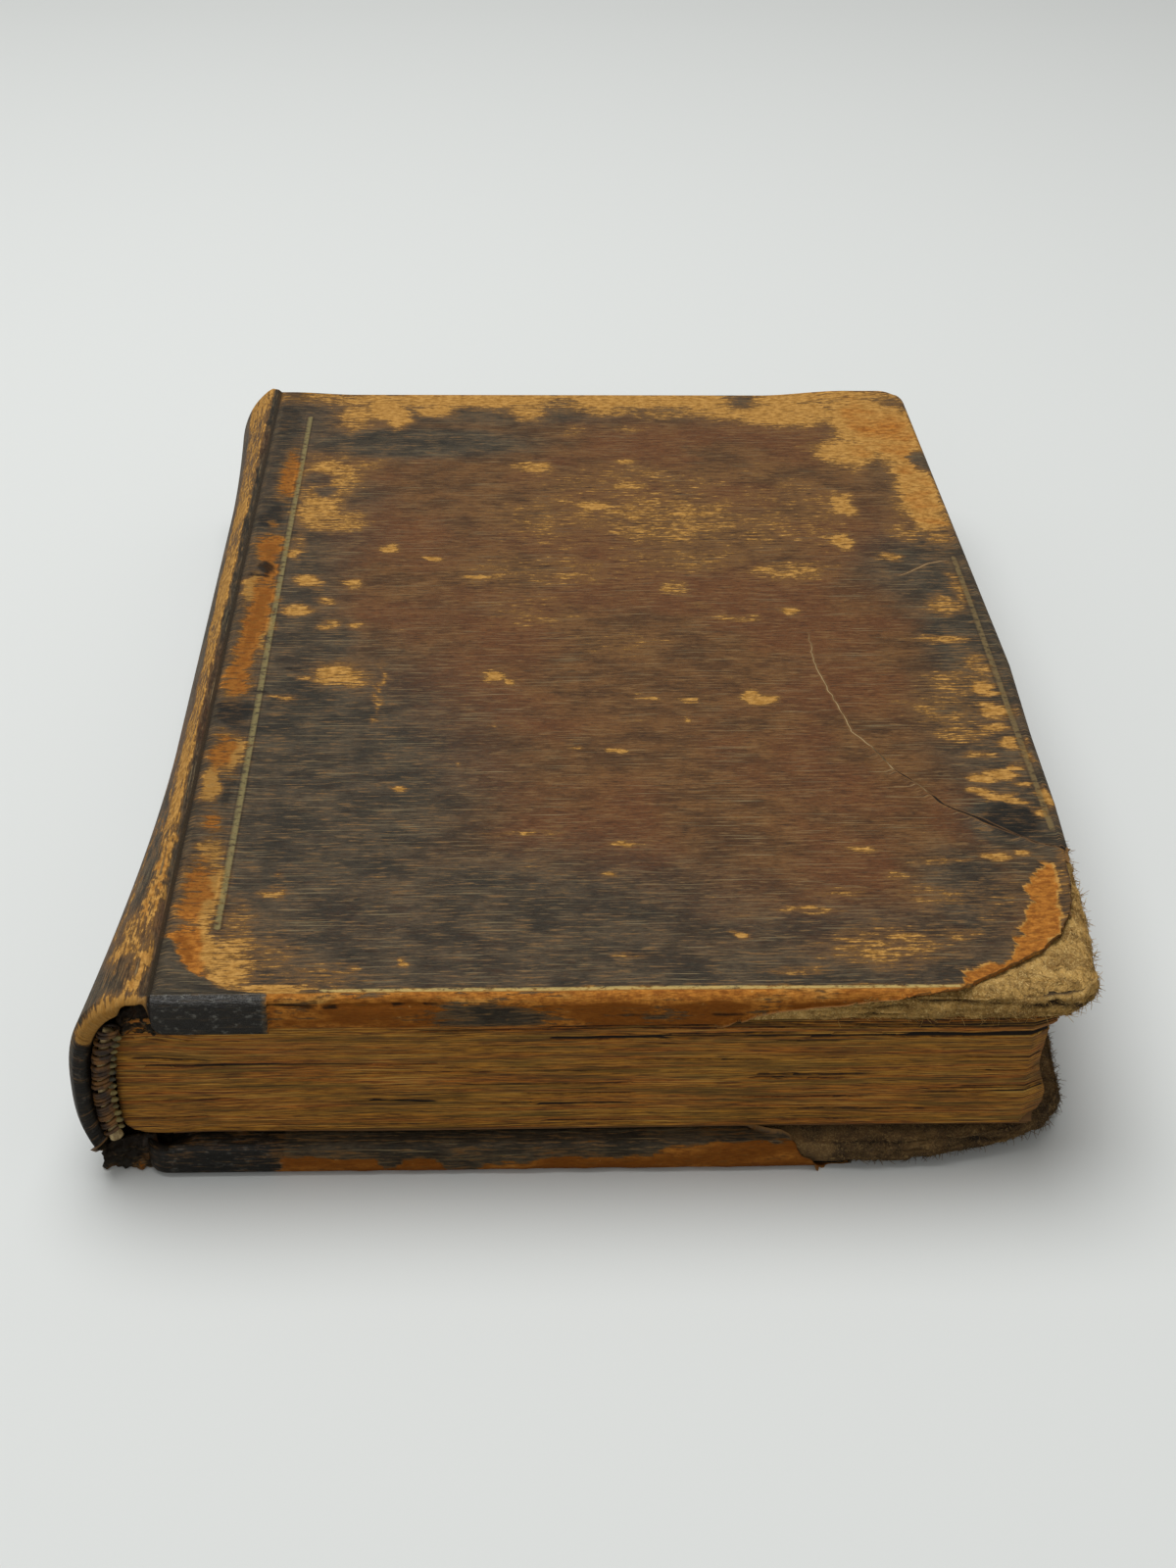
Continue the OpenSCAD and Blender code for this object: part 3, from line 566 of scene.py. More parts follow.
# The bevel along the spine edge, measured from the hinge line
BEVEL_W = 3.6
BEVEL_SLOPE = 1.4 / 3.0


def head_sag(x, y):
    """How far the outer face has sunk along the head of the front cover."""
    return ease(y, 57, 93) ** 2 * (0.5 + 0.5 * ease(x, 2, 14)) * ease(106 - x, 0, 16)


def foot_lift(x, y):
    """How far the lower corner of the back cover has worn away from below."""
    return 1.6 * ease(x, 86, 113) * ease(-y, 74, 93)


def drawn_in(x, up, worn):
    """How far the fore edge has worn in towards its tail corner, at places up from the tail edge."""
    return np.interp(up, *worn[:2]) * ease(x, 84, COVER_W)


def worn_plan(points, worn):
    """Draws the fore edge and the tail edge in where their corner has worn away."""
    x, up = points[:, 0].copy(), points[:, 1] + HALF_LEN
    points[:, 0] -= drawn_in(x, up, worn)
    points[:, 1] += np.interp(x, *worn[2:]) * ease(40 - up, 0, 34)
    return points


def board_outline(worn_r, worn):
    """Loop round a board's edge: fine steps round the worn corner, coarse ones elsewhere."""
    inset = LEATHER_T / 2
    x1, y0, y1 = COVER_W - inset, -HALF_LEN + inset, HALF_LEN - inset
    tail = [(x, y0) for x in np.concatenate([np.arange(0.8, 62, 3.0), np.arange(62, x1 - worn_r, 0.3)])]
    turn = np.linspace(-math.pi / 2, 0, int(worn_r * 1.6 / 0.3))
    corner = [(x1 - worn_r * (1 - math.cos(a)), y0 + worn_r * (1 + math.sin(a))) for a in turn]
    fore_y = np.concatenate([np.arange(y0 + worn_r + 0.3, -50, 0.3), np.arange(-50, y1 - 4.2, 2.5)])
    fore = [(x1, y) for y in fore_y]
    turn = np.linspace(0, math.pi / 2, 8)
    head = [(x1 - 4.2 * (1 - math.cos(a)), y1 - 4.2 * (1 - math.sin(a))) for a in turn]
    head += [(x, y1) for x in np.arange(x1 - 6, 0.8, -3.0)]
    return worn_plan(np.array(tail + corner + fore + head), worn)


def board_piece(name, side, worn_r, worn, bare, gape, tear, seed):
    """A board as a closed piece. bare says where its edge is uncovered: from x on the tail edge and up to y
    on the fore edge. gape is the place, and the share of the thickness, where its sheets part the most."""
    outline = board_outline(worn_r, worn)
    centre = np.array([COVER_W / 2, 0])
    inward = centre - outline
    inward /= np.linalg.norm(inward, axis=1)[:, None]
    steps = np.linalg.norm(np.diff(outline, axis=0, append=outline[:1]), axis=1)
    along = np.concatenate([[0], np.cumsum(steps)[:-1]])
    x, y = outline[:, 0], outline[:, 1]
    on_tail = ease(x, bare[0] - 10, bare[0] + 4) * ease(-y, HALF_LEN - 30, HALF_LEN - 14)
    on_fore = ease(x, COVER_W - 14, COVER_W - 9) * ease(-y, -bare[1] - 4, -bare[1] + 6)
    open_edge = np.maximum(on_tail, on_fore)
    insets = [15, 12, 9.5, 7.6, 6.2, 5.1, 4.2, 3.4, 2.7, 2.1, 1.6, 1.2, 0.8, 0.45, 0.2]
    layers = 17
    rings = [(q, 0.0) for q in insets] + [(0.0, k / layers) for k in range(1, layers)]
    rings += [(q, 1.0) for q in insets[::-1]]
    points, values = [], []
    for q, share in rings:
        thin = ease(3.0 - q, 0, 3.0) * open_edge
        rise = 0.32 * open_edge * (share < 0.5) * ease(q, 0.2, 2.5)
        fluff = noise(x / 1.1 + q, y / 1.1, seed, 3) * open_edge
        depth = LEATHER_T + (BOARD_T - 0.1) * share + 0.05
        if share in (0.0, 1.0):
            way = 1 if share == 0.0 else -1
            tip = 0.55 * thin * ease(1.2 - q, 0, 1.2)
            place = outline + inward * q
            rough = noise(place[:, 0] * 1.3, place[:, 1] * 1.3, seed + 1, 2)
            ragged = 0.3 * fluff + 0.22 * rough * open_edge
            depth = depth - rise + way * (tip + ragged * ease(q, 0, 1))
            layer = np.zeros(len(outline))
        else:
            bulge = math.sin(math.pi * share)
            sheet = noise(along / 3.2, share * 11 + seed, seed + 2, 2)
            split = ease(noise(along / 6.5, share * 5.5, seed + 3), 0.35, 0.75)
            off = share - gape[1] - 0.1 * noise(x / 1.5, 1, seed)
            wide = np.exp(-(((x - gape[0]) / 2.6) ** 2) - (off / 0.13) ** 2)
            split = np.maximum(split, 1.3 * wide * (y < -HALF_LEN + 6))
            out = open_edge * (0.55 * bulge + 0.42 * sheet - 1.0 * split + 0.3 * fluff) - 0.1
            place = outline - inward * out[:, None]
            depth = depth + open_edge * 0.15 * noise(along / 5, share * 3, seed + 4)
            # layer darkens the pasteboard as painted shade: in the splits between sheets and where sheets
            # lie back
            layer = open_edge * (split + 0.4 * (1 - sheet))
        # The swollen sheets never reach past the leather's outer face, and stay under what is left of it
        depth = np.maximum(depth, 0.12 + 0.2 * noise(x, y, seed + 5) * open_edge)
        covered = ease(place[:, 1] + HALF_LEN - np.interp(place[:, 0], *np.array(tear).T), -0.2, 1.0)
        depth = np.maximum(depth, 0.78 * covered)
        slope = np.clip(BEVEL_W - place[:, 0], 0, None) * BEVEL_SLOPE
        depth = np.minimum(depth, LEATHER_T + BOARD_T - 0.05 - slope)
        if side > 0:
            z = BOOK_T - depth - head_sag(*place.T) * np.clip(1 - depth / INNER_T, 0, 1)
        else:
            z = depth + foot_lift(*place.T) * np.clip(1 - depth / (LEATHER_T + BOARD_T), 0, 1)
        points.append(np.column_stack([place, z]))
        values.append(np.column_stack([along, np.full_like(along, share * 3 + q), layer]))
    rows, columns = len(rings), len(outline)
    faces = grid_faces(rows, columns, closed=True).tolist()
    faces += [list(range(columns))[::-1], [(rows - 1) * columns + k for k in range(columns)]]
    if side > 0:
        faces = [face[::-1] for face in faces]
    values = {"layer": np.concatenate(values), "bare": np.tile(open_edge, rows)}
    return piece_from(name, np.concatenate(points), faces, values)


def pasteboard(name, dark, pale, fresh):
    """Bare pasteboard: golden brown paper fibre, lighter where fresh fluff stands up, painted dark as shade
    in the splits between the sheets and where sheets lie back. Its fibres are 0.05 mm thick and are drawn at
    about 0.15 mm."""
    made, tree = material(name)
    place = add(tree, "TexCoord", {}, {}).outputs["Object"]
    layer = add(tree, "Attribute", {"attribute_name": "layer"}, {}).outputs["Vector"]
    split = add(tree, "SeparateXYZ", {}, {0: layer}).outputs[2]
    fluff = add(tree, "TexNoise", {}, {
        "Vector": place, "Scale": 1900.0, "Detail": 6.0, "Roughness": 0.75, "Distortion": 2.2})
    clumps = add(tree, "TexNoise", {}, {"Vector": place, "Scale": 330.0, "Detail": 4.0, "Roughness": 0.6})
    tone = add(tree, "MapRange", STEP, {0: clumps, 1: 0.34, 2: 0.64})
    shade = add(tree, "Mix", MIX, {0: tone, 6: colour(dark), 7: colour(pale)})
    shade = coated(tree, shade, (
        (fluff, 0.50, 0.62, 0.9, fresh), (fluff, 0.43, 0.33, 0.75, "#553c1c"),
        (split, 0.55, 1.2, 0.9, "#2a1c0d")))
    height = add(tree, "Math", {"operation": "MULTIPLY_ADD"}, {0: clumps, 1: 1.5, 2: fluff})
    bump = add(tree, "Bump", {}, {"Strength": 1.0, "Distance": 0.0006, "Height": height})
    surface(tree, shade, bump, Roughness=0.95)
    return made


def splinters(name, spots, seed):
    """Fibres that lie on a frayed edge or stand out of it. Each spot is a place and the way out of it."""
    parts = []
    for k, (place, out) in enumerate(spots):
        stands = lattice(k, 8, seed) < 0.25
        length = 0.45 + 0.9 * lattice(k, 1, seed)
        way = np.array([lattice(k, n, seed) - 0.5 for n in (2, 3, 4)]) * (2, 1.2, 0.8)
        way = way - out * (way @ out) + out * (0.5 if stands else 0.02)
        way /= np.linalg.norm(way)
        curl = np.cross(way, out) * (lattice(k, 5, seed) - 0.5)
        steps = np.linspace(0, 1, 4)[:, None]
        path = place + out * 0.05 + way * steps * length + curl * steps**2 * length * 0.9
        parts.append(tube(path, np.linspace(0.05, 0.02, 4), 3))
    return piece_from(name, *joined(parts))


# tear is the line of the leather's torn edge over each worn corner. worn says how far the fore edge has worn
# in at heights above the tail edge, and the tail edge at places from the hinge.
FRAYED = {
    "front": dict(side=1, worn_r=4.5, gape=(106.5, 0.4), bare=(80.0, -58.0), seed=71,
        tear=[(95.6, 0.2), (97.1, 1.9), (100.1, 4.1), (106.1, 7.7), (109.1, 10.7), (111.5, 15.5),
            (112.9, 21.5), (113.4, 26.3), (114.2, 30.5), (118, 34.5)],
        worn=([0, 6, 15, 24, 30, 42, 60, 80], [4.2, 4.2, 3.1, 2.5, 2.2, 1.5, 1.0, 0], [106, 117], [0, 0.7])),
    "back": dict(side=-1, worn_r=9.0, gape=(101.0, 0.5), bare=(84.0, -60.0), seed=83,
        tear=[(82.5, 0), (84, 1), (88, 4), (98, 9), (106, 14), (112, 24), (118, 34)],
        worn=([0, 11, 40, 80], [5.0, 4.6, 2.0, 0], [84, 91, 98, 106, 112], [0, 0.2, 0.8, 1.9, 3.0])),
}
BOARD_TONES = {"front": ("#9c7433", "#dcae5e", "#f4d186"), "back": ("#4d3719", "#856537", "#b08f58")}
for name, facts in FRAYED.items():
    board_paper = pasteboard(f"frayed_pasteboard_{name}", *BOARD_TONES[name])
    board = board_piece(f"{name}_pasteboard", **facts)
    paint(board, board_paper)
    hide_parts(f"{name}_board")
    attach(board, f"{name}_cover")
    mesh = board.data
    open_edge = np.zeros(len(mesh.vertices), np.float32)
    mesh.attributes["bare"].data.foreach_get("value", open_edge)
    spots = []
    for v in mesh.vertices:
        place = np.array(v.co) / MM - (HINGE_X, 0, 0)
        on_edge = 14 <= v.index // (len(mesh.vertices) // 46) < 31
        bare = on_edge or place[1] + HALF_LEN + 0.6 < np.interp(place[0], *np.array(facts["tear"]).T)
        if bare and open_edge[v.index] > 0.6 and lattice(v.index, 9, facts["seed"]) < 0.3:
            spots.append((place, np.array(v.normal)))
    fluff = splinters(f"{name}_board_fluff", spots, facts["seed"] + 1)
    paint(fluff, board_paper)
    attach(fluff, f"{name}_cover")

# Leather. One skin of calf, dyed nearly black round its edges and red-brown in the middle, drawn over boards
# and hollow back and turned in. A spot is placed by where it lay on the flat skin: U runs from the hinge to
# the fore edge and, below zero, over the back; V runs up from the tail edge and, below zero, is turned over.

# Its sizes: corner radius, step between points, groove at the hinge, crest beside it, ruled line, the end of
# the whole turn-in, and the radii over and under a board's edge
CORNER_R = 5.0
GRID = 0.62
GROOVE_D = 0.4
CREST = 1.7
RULE_U = 6.2
TURN_IN_U = 13.5
UPPER_R = 1.4
LOWER_R = 0.8


def dabs(u, v, spots):
    """Highest of some flat-topped spots at each place, their outlines made uneven. A spot is
    (u, v, half length, half width, strength)."""
    total = np.zeros(np.broadcast(u, v).shape)
    u, v = u + 1.3 * noise(u / 2.8, v / 1.9, 91, 3), v + 0.9 * noise(u / 3.1, v / 1.7, 92, 3)
    for cu, cv, hu, hv, strength in spots:
        fall = ((u - cu) / hu) ** 2 + ((v - cv) / hv) ** 2
        total = np.maximum(total, strength * np.minimum(1, 1.3 * np.exp(-0.75 * fall)))
    return total


def ridge(off, width):
    """1 along a line, falling smoothly to 0 on both sides of it."""
    return np.exp(-((off / width) ** 2))


def joint_panel_wear(u, v):
    """Raw and rubbed patches of the strip between the hinge and the ruled line."""
    raw = dabs(u, v, [
        (4.6, 147, 1.5, 10.5, 1.0), (3.3, 127, 0.8, 1.4, 0.8), (3.6, 117.5, 2.1, 4.8, 1.15),
        (4.4, 110, 1.2, 5, 1.0), (4.0, 99, 1.7, 8, 1.15), (3.2, 90, 1.7, 8, 1.15), (2.5, 80, 1.5, 8, 1.1),
        (2.6, 73.5, 2.2, 2.6, 1.0), (2.4, 55.5, 1.7, 5, 0.95), (3, 37.5, 1.5, 2.4, 0.8),
        (2.6, 22, 1.9, 7, 1.05), (2.6, 9.5, 2.2, 5, 1.2), (4.8, 5.2, 1.7, 2.2, 1.0)])
    rubbed = dabs(u, v, [
        (1.9, 104, 1.4, 4.6, 0.85), (4.9, 93, 1.2, 9, 0.8), (4.2, 55, 1.6, 5, 0.8),
        (1.8, 47.5, 1.4, 4, 0.85), (3.5, 30.7, 2.0, 3.4, 0.62), (4.7, 20, 1.6, 8, 0.8),
        (4.5, 9, 2.2, 6, 1.0), (8.4, 7.2, 3.2, 5.2, 0.74), (14.5, 2.3, 4.6, 1.1, 0.8),
        (8, 15, 2.2, 5, 0.42), (13, 8, 3.6, 4.5, 0.36), (19, 4.5, 5, 2.4, 0.38)])
    return raw, rubbed


def cover_wear(u, v):
    """Where the dyed face of the front cover has been rubbed through to tan."""
    head = dabs(u, v, [
        (60, 183.6, 56, 5.0, 0.9), (14.5, 174, 3.4, 6.4, 0.72), (19.5, 178, 3, 5.4, 1.1),
        (22.3, 174, 2.0, 6, 0.9), (29, 177, 3.4, 3, 0.8), (46, 177, 3.4, 5, 0.72), (60, 177, 6, 3, 0.6),
        (70, 175, 6, 3, 0.5), (64, 168, 3, 3, 0.42), (54, 167, 2, 3, 0.4), (84, 177, 10, 5, 0.75),
        (94, 175.5, 10, 6.5, 0.9)])
    fore = dabs(u, v, [
        (107.5, 170, 5.2, 11, 1.2), (112.5, 164, 4.4, 13, 1.2), (103, 156.5, 5.6, 6.2, 0.85),
        (113, 139, 3.6, 15, 1.0), (110.5, 133, 4, 8, 0.5), (99.5, 135, 1.8, 4.2, 0.8),
        (97, 120.5, 1.8, 2.8, 0.8), (104, 115, 1.6, 1.6, 0.7), (94, 124, 5, 3, 0.42),
        (108, 124, 3, 4, 0.45)])
    spine_side = dabs(u, v, [
        (11.5, 147.5, 5.2, 7.4, 0.68), (11, 139.5, 4.6, 6, 0.58), (10.5, 133, 4.0, 5.6, 0.7),
        (14, 128, 5.0, 4.0, 0.62), (18, 151, 3, 3, 0.4), (8, 121, 1.5, 3, 0.5),
        (23, 118.5, 1.4, 1.3, 0.85), (29.8, 114.5, 1.6, 1.0, 0.9), (37.7, 108, 3, 0.7, 0.72),
        (17.5, 106, 1.3, 1.2, 0.8), (10.5, 106.5, 2.2, 1.8, 0.85), (7.8, 116.5, 1.2, 1.8, 0.8),
        (9.5, 97, 2.2, 1.6, 0.8), (14, 100, 1.6, 1.2, 0.6), (15, 92, 1.4, 1.8, 0.6),
        (19, 92, 1.1, 0.8, 0.75), (16.6, 77, 3.4, 3.0, 0.8), (20, 74.5, 2.2, 1.4, 0.5),
        (10.5, 70, 1.5, 0.9, 0.85), (12, 76, 1.1, 0.9, 0.75), (8.6, 70.6, 1.2, 0.5, 0.7),
        (23.5, 74, 0.28, 6, 0.66), (22.9, 66.5, 0.25, 3, 0.7)])
    middle = dabs(u, v, [
        (46.5, 150.5, 3.8, 2.2, 0.72), (63, 152.5, 1.8, 1.2, 0.7), (57, 134.5, 3.6, 1.6, 0.78),
        (63.5, 142.5, 4, 1.8, 0.62), (51, 129, 11, 11, 0.39), (69, 129, 14, 11, 0.50),
        (64, 144, 17, 8, 0.38), (90, 132, 11, 15, 0.36), (62, 124, 4, 2, 0.5), (72, 129, 4, 1.6, 0.55),
        (87, 110, 6.6, 3.4, 0.58), (83, 122, 3.6, 3.6, 0.46), (68.5, 104, 2.2, 2.4, 0.6),
        (72, 98, 2, 1.4, 0.5), (78, 94, 4, 1.2, 0.5), (86, 96, 1.2, 1.2, 0.62), (70, 114, 11, 5, 0.40),
        (48, 110, 13, 6, 0.37), (46, 97, 9, 5, 0.34), (57, 86, 9, 4, 0.30), (40, 76.5, 1.5, 1.3, 0.95),
        (42, 74.6, 0.7, 0.9, 0.85), (63, 69.2, 4.0, 0.42, 0.62), (68.5, 69.0, 1.6, 0.45, 0.7),
        (76.6, 70.4, 1.3, 1.3, 1.15), (78.4, 69.0, 1.9, 1.3, 1.2), (57, 55.3, 1.0, 0.8, 0.9),
        (52, 55.8, 1.4, 0.4, 0.6), (26.7, 45.8, 0.9, 0.5, 0.85), (56.4, 32, 1.7, 0.6, 0.75),
        (43, 34.8, 4.4, 0.35, 0.62), (35.2, 51.8, 0.5, 0.5, 0.7), (54.4, 25.4, 0.7, 0.6, 0.75),
        (13, 26, 0.8, 0.8, 0.6), (12, 21.8, 1.4, 1.0, 0.62), (23.7, 6.3, 0.8, 0.5, 0.75),
        (29.2, 7, 0.6, 0.8, 0.85), (55, 8, 3.4, 0.4, 0.6), (70, 12.2, 1.0, 0.7, 0.85),
        (39.6, 62, 0.5, 0.5, 0.7), (68, 63, 0.5, 0.5, 0.7), (61, 71, 0.6, 0.4, 0.6)])
    margin = dabs(u, v, [
        (110, 98, 3, 3, 0.55), (108, 87, 4.2, 1.3, 0.72), (113.4, 104, 1.2, 7, 0.5),
        (112, 79, 2.2, 4, 0.5), (108, 74, 5, 4, 0.46), (111.5, 72, 2.0, 2.2, 0.85), (105, 66, 6, 6, 0.42),
        (112, 65.6, 2.2, 2.2, 0.85), (106, 59, 4, 2.4, 0.5), (110.5, 61, 2.4, 1.2, 0.7),
        (111.8, 56.8, 1.1, 1.5, 0.85), (107, 54, 2, 1.0, 0.6), (106.6, 47.7, 1.5, 0.8, 1.0),
        (109, 48.9, 1.9, 1.1, 1.15), (111.6, 50.6, 1.4, 0.9, 1.05), (105, 44.4, 1.3, 0.9, 1.0),
        (107.5, 43.2, 1.9, 0.9, 1.1), (110, 42.1, 1.2, 0.8, 0.95), (112, 46.2, 1.3, 0.9, 0.8),
        (112.4, 39.2, 1.2, 1.0, 0.9), (114.4, 42.5, 0.9, 2.4, 0.95), (114.2, 55, 0.7, 3, 0.6),
        (104.6, 28.6, 2.4, 1.2, 0.8), (108.5, 29.4, 1.0, 0.6, 0.7), (87.5, 9.8, 7.4, 3.8, 0.47),
        (90, 11.5, 3, 1.0, 0.7), (79, 17, 3.2, 0.8, 0.6), (87.3, 30.5, 2.2, 0.6, 0.62),
        (92, 25, 1.4, 0.8, 0.62), (98, 28, 4, 0.8, 0.5), (96, 20, 5, 2.4, 0.36),
        (103, 18.5, 3.5, 6.5, 0.30), (84, 21, 3, 1, 0.5), (97, 12, 3, 1.4, 0.5), (76, 5, 3, 0.9, 0.55)])
    return np.maximum.reduce([head, fore, spine_side, middle, margin]), fore


# The torn corner: where the dyed face ends, short of where the whole leather ends
FACE_END = [(95.5, 1.5), (96.5, 4.1), (101.3, 6.5), (102.8, 8.9), (104.9, 12.5), (107, 17.9), (107.3, 21.5),
    (109.7, 26), (113, 29.5), (118, 31)]
TORN_EDGE = FRAYED["front"]["tear"]


def edge_distance(u, v, line):
    """Distance from a line of points that runs up and out, below zero on its lower right side."""
    line_u, line_v = np.array(line).T
    best = np.full(np.broadcast(u, v).shape, 1e9)
    for k in range(len(line_u) - 1):
        a = np.array([line_u[k], line_v[k]])
        d = np.array([line_u[k + 1], line_v[k + 1]]) - a
        t = np.clip(((u - a[0]) * d[0] + (v - a[1]) * d[1]) / (d @ d), 0, 1)
        best = np.minimum(best, np.hypot(u - a[0] - t * d[0], v - a[1] - t * d[1]))
    outside = (v < np.interp(u, line_u, line_v)) & (u > line_u[0])
    return np.where(outside, -best, best)


def front_wear(u, v):
    """rub, raw, black and darkening of the front cover at each spot of the skin; the darkening is soiling
    and painted shade.
    """
    u = u - drawn_in(u, v, FRAYED["front"]["worn"])
    raw, near_joint = joint_panel_wear(u, v)
    rub, fore = cover_wear(u, v)
    ragged = noise(u / 2.2, v / 1.1, 5, 3)
    face = edge_distance(u, v, FACE_END) + 1.3 * ragged
    tear = edge_distance(u, v, TORN_EDGE)
    corner = ease(-face, -0.3, 0.3) * ease(v, -0.3, 0.4)
    layer = corner * ease(np.interp(v, [7, 13, 19], [0.2, 1.0, 1.9]) - tear + 0.6 * ragged, 0, 0.6)
    spots = dabs(u, v, [
        (9.6, 145.6, 1.5, 1.9, 1), (11.4, 140.3, 1.2, 1.3, 1), (115.2, 153, 1.3, 2.6, 1),
        (86, 183, 3, 3, 0.6), (52, 182, 3, 2, 0.5)])
    rub = np.maximum.reduce([rub, near_joint, 0.74 * raw]) - spots - 0.05
    # The tail edge: a rubbed line along the top, then the turned leather, raw but for a few dyed patches
    turned = ease(-v, -0.9, -0.3) * ease(u, TURN_IN_U - 0.2, TURN_IN_U)
    down = -v
    upper = ease(2.0 - down, 0, 0.3)
    mottle = noise(u / 6, down / 1.7, 12, 3)
    skin_left = dabs(u, down, [
        (39.5, 3.7, 5.2, 1.5, 1), (25, 0.3, 4, 0.6, 0.5), (45, 0.2, 6, 0.5, 0.5), (58, 3.6, 5, 0.8, 0.4)])
    edge_rub = 0.90 + 0.55 * mottle - skin_left
    rub = np.where(turned > 0, rub * (1 - turned) + turned * edge_rub, rub)
    raw = np.maximum(raw, turned * (1.25 - 0.45 * upper + 0.5 * mottle))
    thumbed = ease(0.55 * ragged + 1.5 - np.abs(v - 0.9), 0, 0.9) * ease(u, 17, 23) * (np.abs(v) < 6)
    rub = np.maximum(rub, thumbed * 0.9)
    rub = np.maximum(rub, 1.2 * corner) - 0.85 * layer
    raw = np.maximum.reduce([raw, corner * (1 - layer), 0.5 * fore * ease(u, 100, 106)])
    # The foot of the joint panel, below a crease that slants down to the edge, has kept its dark skin
    foot = np.interp(v, [0, 2.7, 5.5, 8.5, 12, 14], [15.5, 7.5, 4.5, 2.5, 1.0, -3]) - u + 1.1 * ragged
    foot = ease(foot, -0.5, 1.0) * (v > -0.2) * (v < 14)
    rub, raw = rub - 1.3 * foot, raw * (1 - foot)
    shut = ease(down, -0.2, 0.5) * ease(TURN_IN_U - u, 0, 0.15)
    rub, raw = rub * (1 - shut) - 0.5 * shut, raw * (1 - shut)
    away = np.minimum(np.minimum(u - 4, v - 2), np.minimum(COVER_W - 2 - u, 184 - v))
    black = 0.8 - 0.8 * ease(away + 8 * noise(u / 22, v / 22, 3, 2), 2, 26)
    dark = dabs(u, v, [
        (14, 45, 26, 40, 0.85), (12, 66, 9, 14, 1.1), (25, 161, 20, 6.5, 1.1), (30, 14, 46, 20, 0.8),
        (80, 8, 44, 12, 0.7), (108.5, 37, 5.5, 6, 1.3), (112, 85, 7, 28, 0.95), (2.5, 171, 2.6, 11, 1.2),
        (3, 129.5, 3.2, 6.5, 1.25), (3, 66, 3.4, 5, 1.3), (4.3, 45, 1.8, 5.4, 1.2), (111, 107, 4, 8, 1.1),
        (14, 86, 6, 9, 0.8), (100, 20, 7, 12, 0.8), (8, 60, 3, 70, 0.6)])
    black = np.maximum.reduce([black, dark, shut * 1.4, turned * 0.9, foot * 1.05])
    # Painted shade and soiling darken the groove at the hinge, the strip beside it, the crease along the
    # foot of the panel, creases in the turned edge and the places under lifted skin
    diagonal = np.abs(v - (4.6 - 0.30 * u + 0.5 * noise(u / 2.5, v / 3, 22, 2))) / 0.7
    grime_and_shadow = 0.62 * ridge(u + 0.2, 0.55)
    grime_and_shadow = np.maximum(grime_and_shadow, 0.45 * ease(1.1 - diagonal, 0, 1) * ease(18 - u, 0, 8) * (v > -0.5))
    grime_and_shadow = np.maximum(grime_and_shadow, 0.38 * ease(6.0 - u, 0, 0.8) * ease(u, 0.3, 1) * ease(v, 12, 20))
    seam = ridge(down - 1.9 - 0.25 * noise(u / 5, 1, 24), 0.28) * ease(noise(u / 1.3, 1, 25), -0.4, 0.3)
    grime_and_shadow = np.maximum(grime_and_shadow, 0.85 * seam * turned * ease(36 - u, 0, 3))
    low_line = ridge(down - 3.6 - 0.3 * noise(u / 7, 2, 26), 0.3) * ease(noise(u / 4, 2, 27), -0.1, 0.5)
    grime_and_shadow = np.maximum(grime_and_shadow, 0.7 * low_line * turned * ease(u, 36, 50))
    grime_and_shadow = np.maximum(grime_and_shadow, 0.9 * dabs(u, v, [
        (3.4, 111.4, 1.0, 2.6, 0.9), (17, 0.7, 4.6, 0.32, 1.0), (7, 72, 2.2, 0.35, 0.9),
        (10, 78.6, 1.8, 0.5, 0.8), (2.2, 108.8, 2.0, 0.35, 0.9)]))
    return rub, raw, black, grime_and_shadow


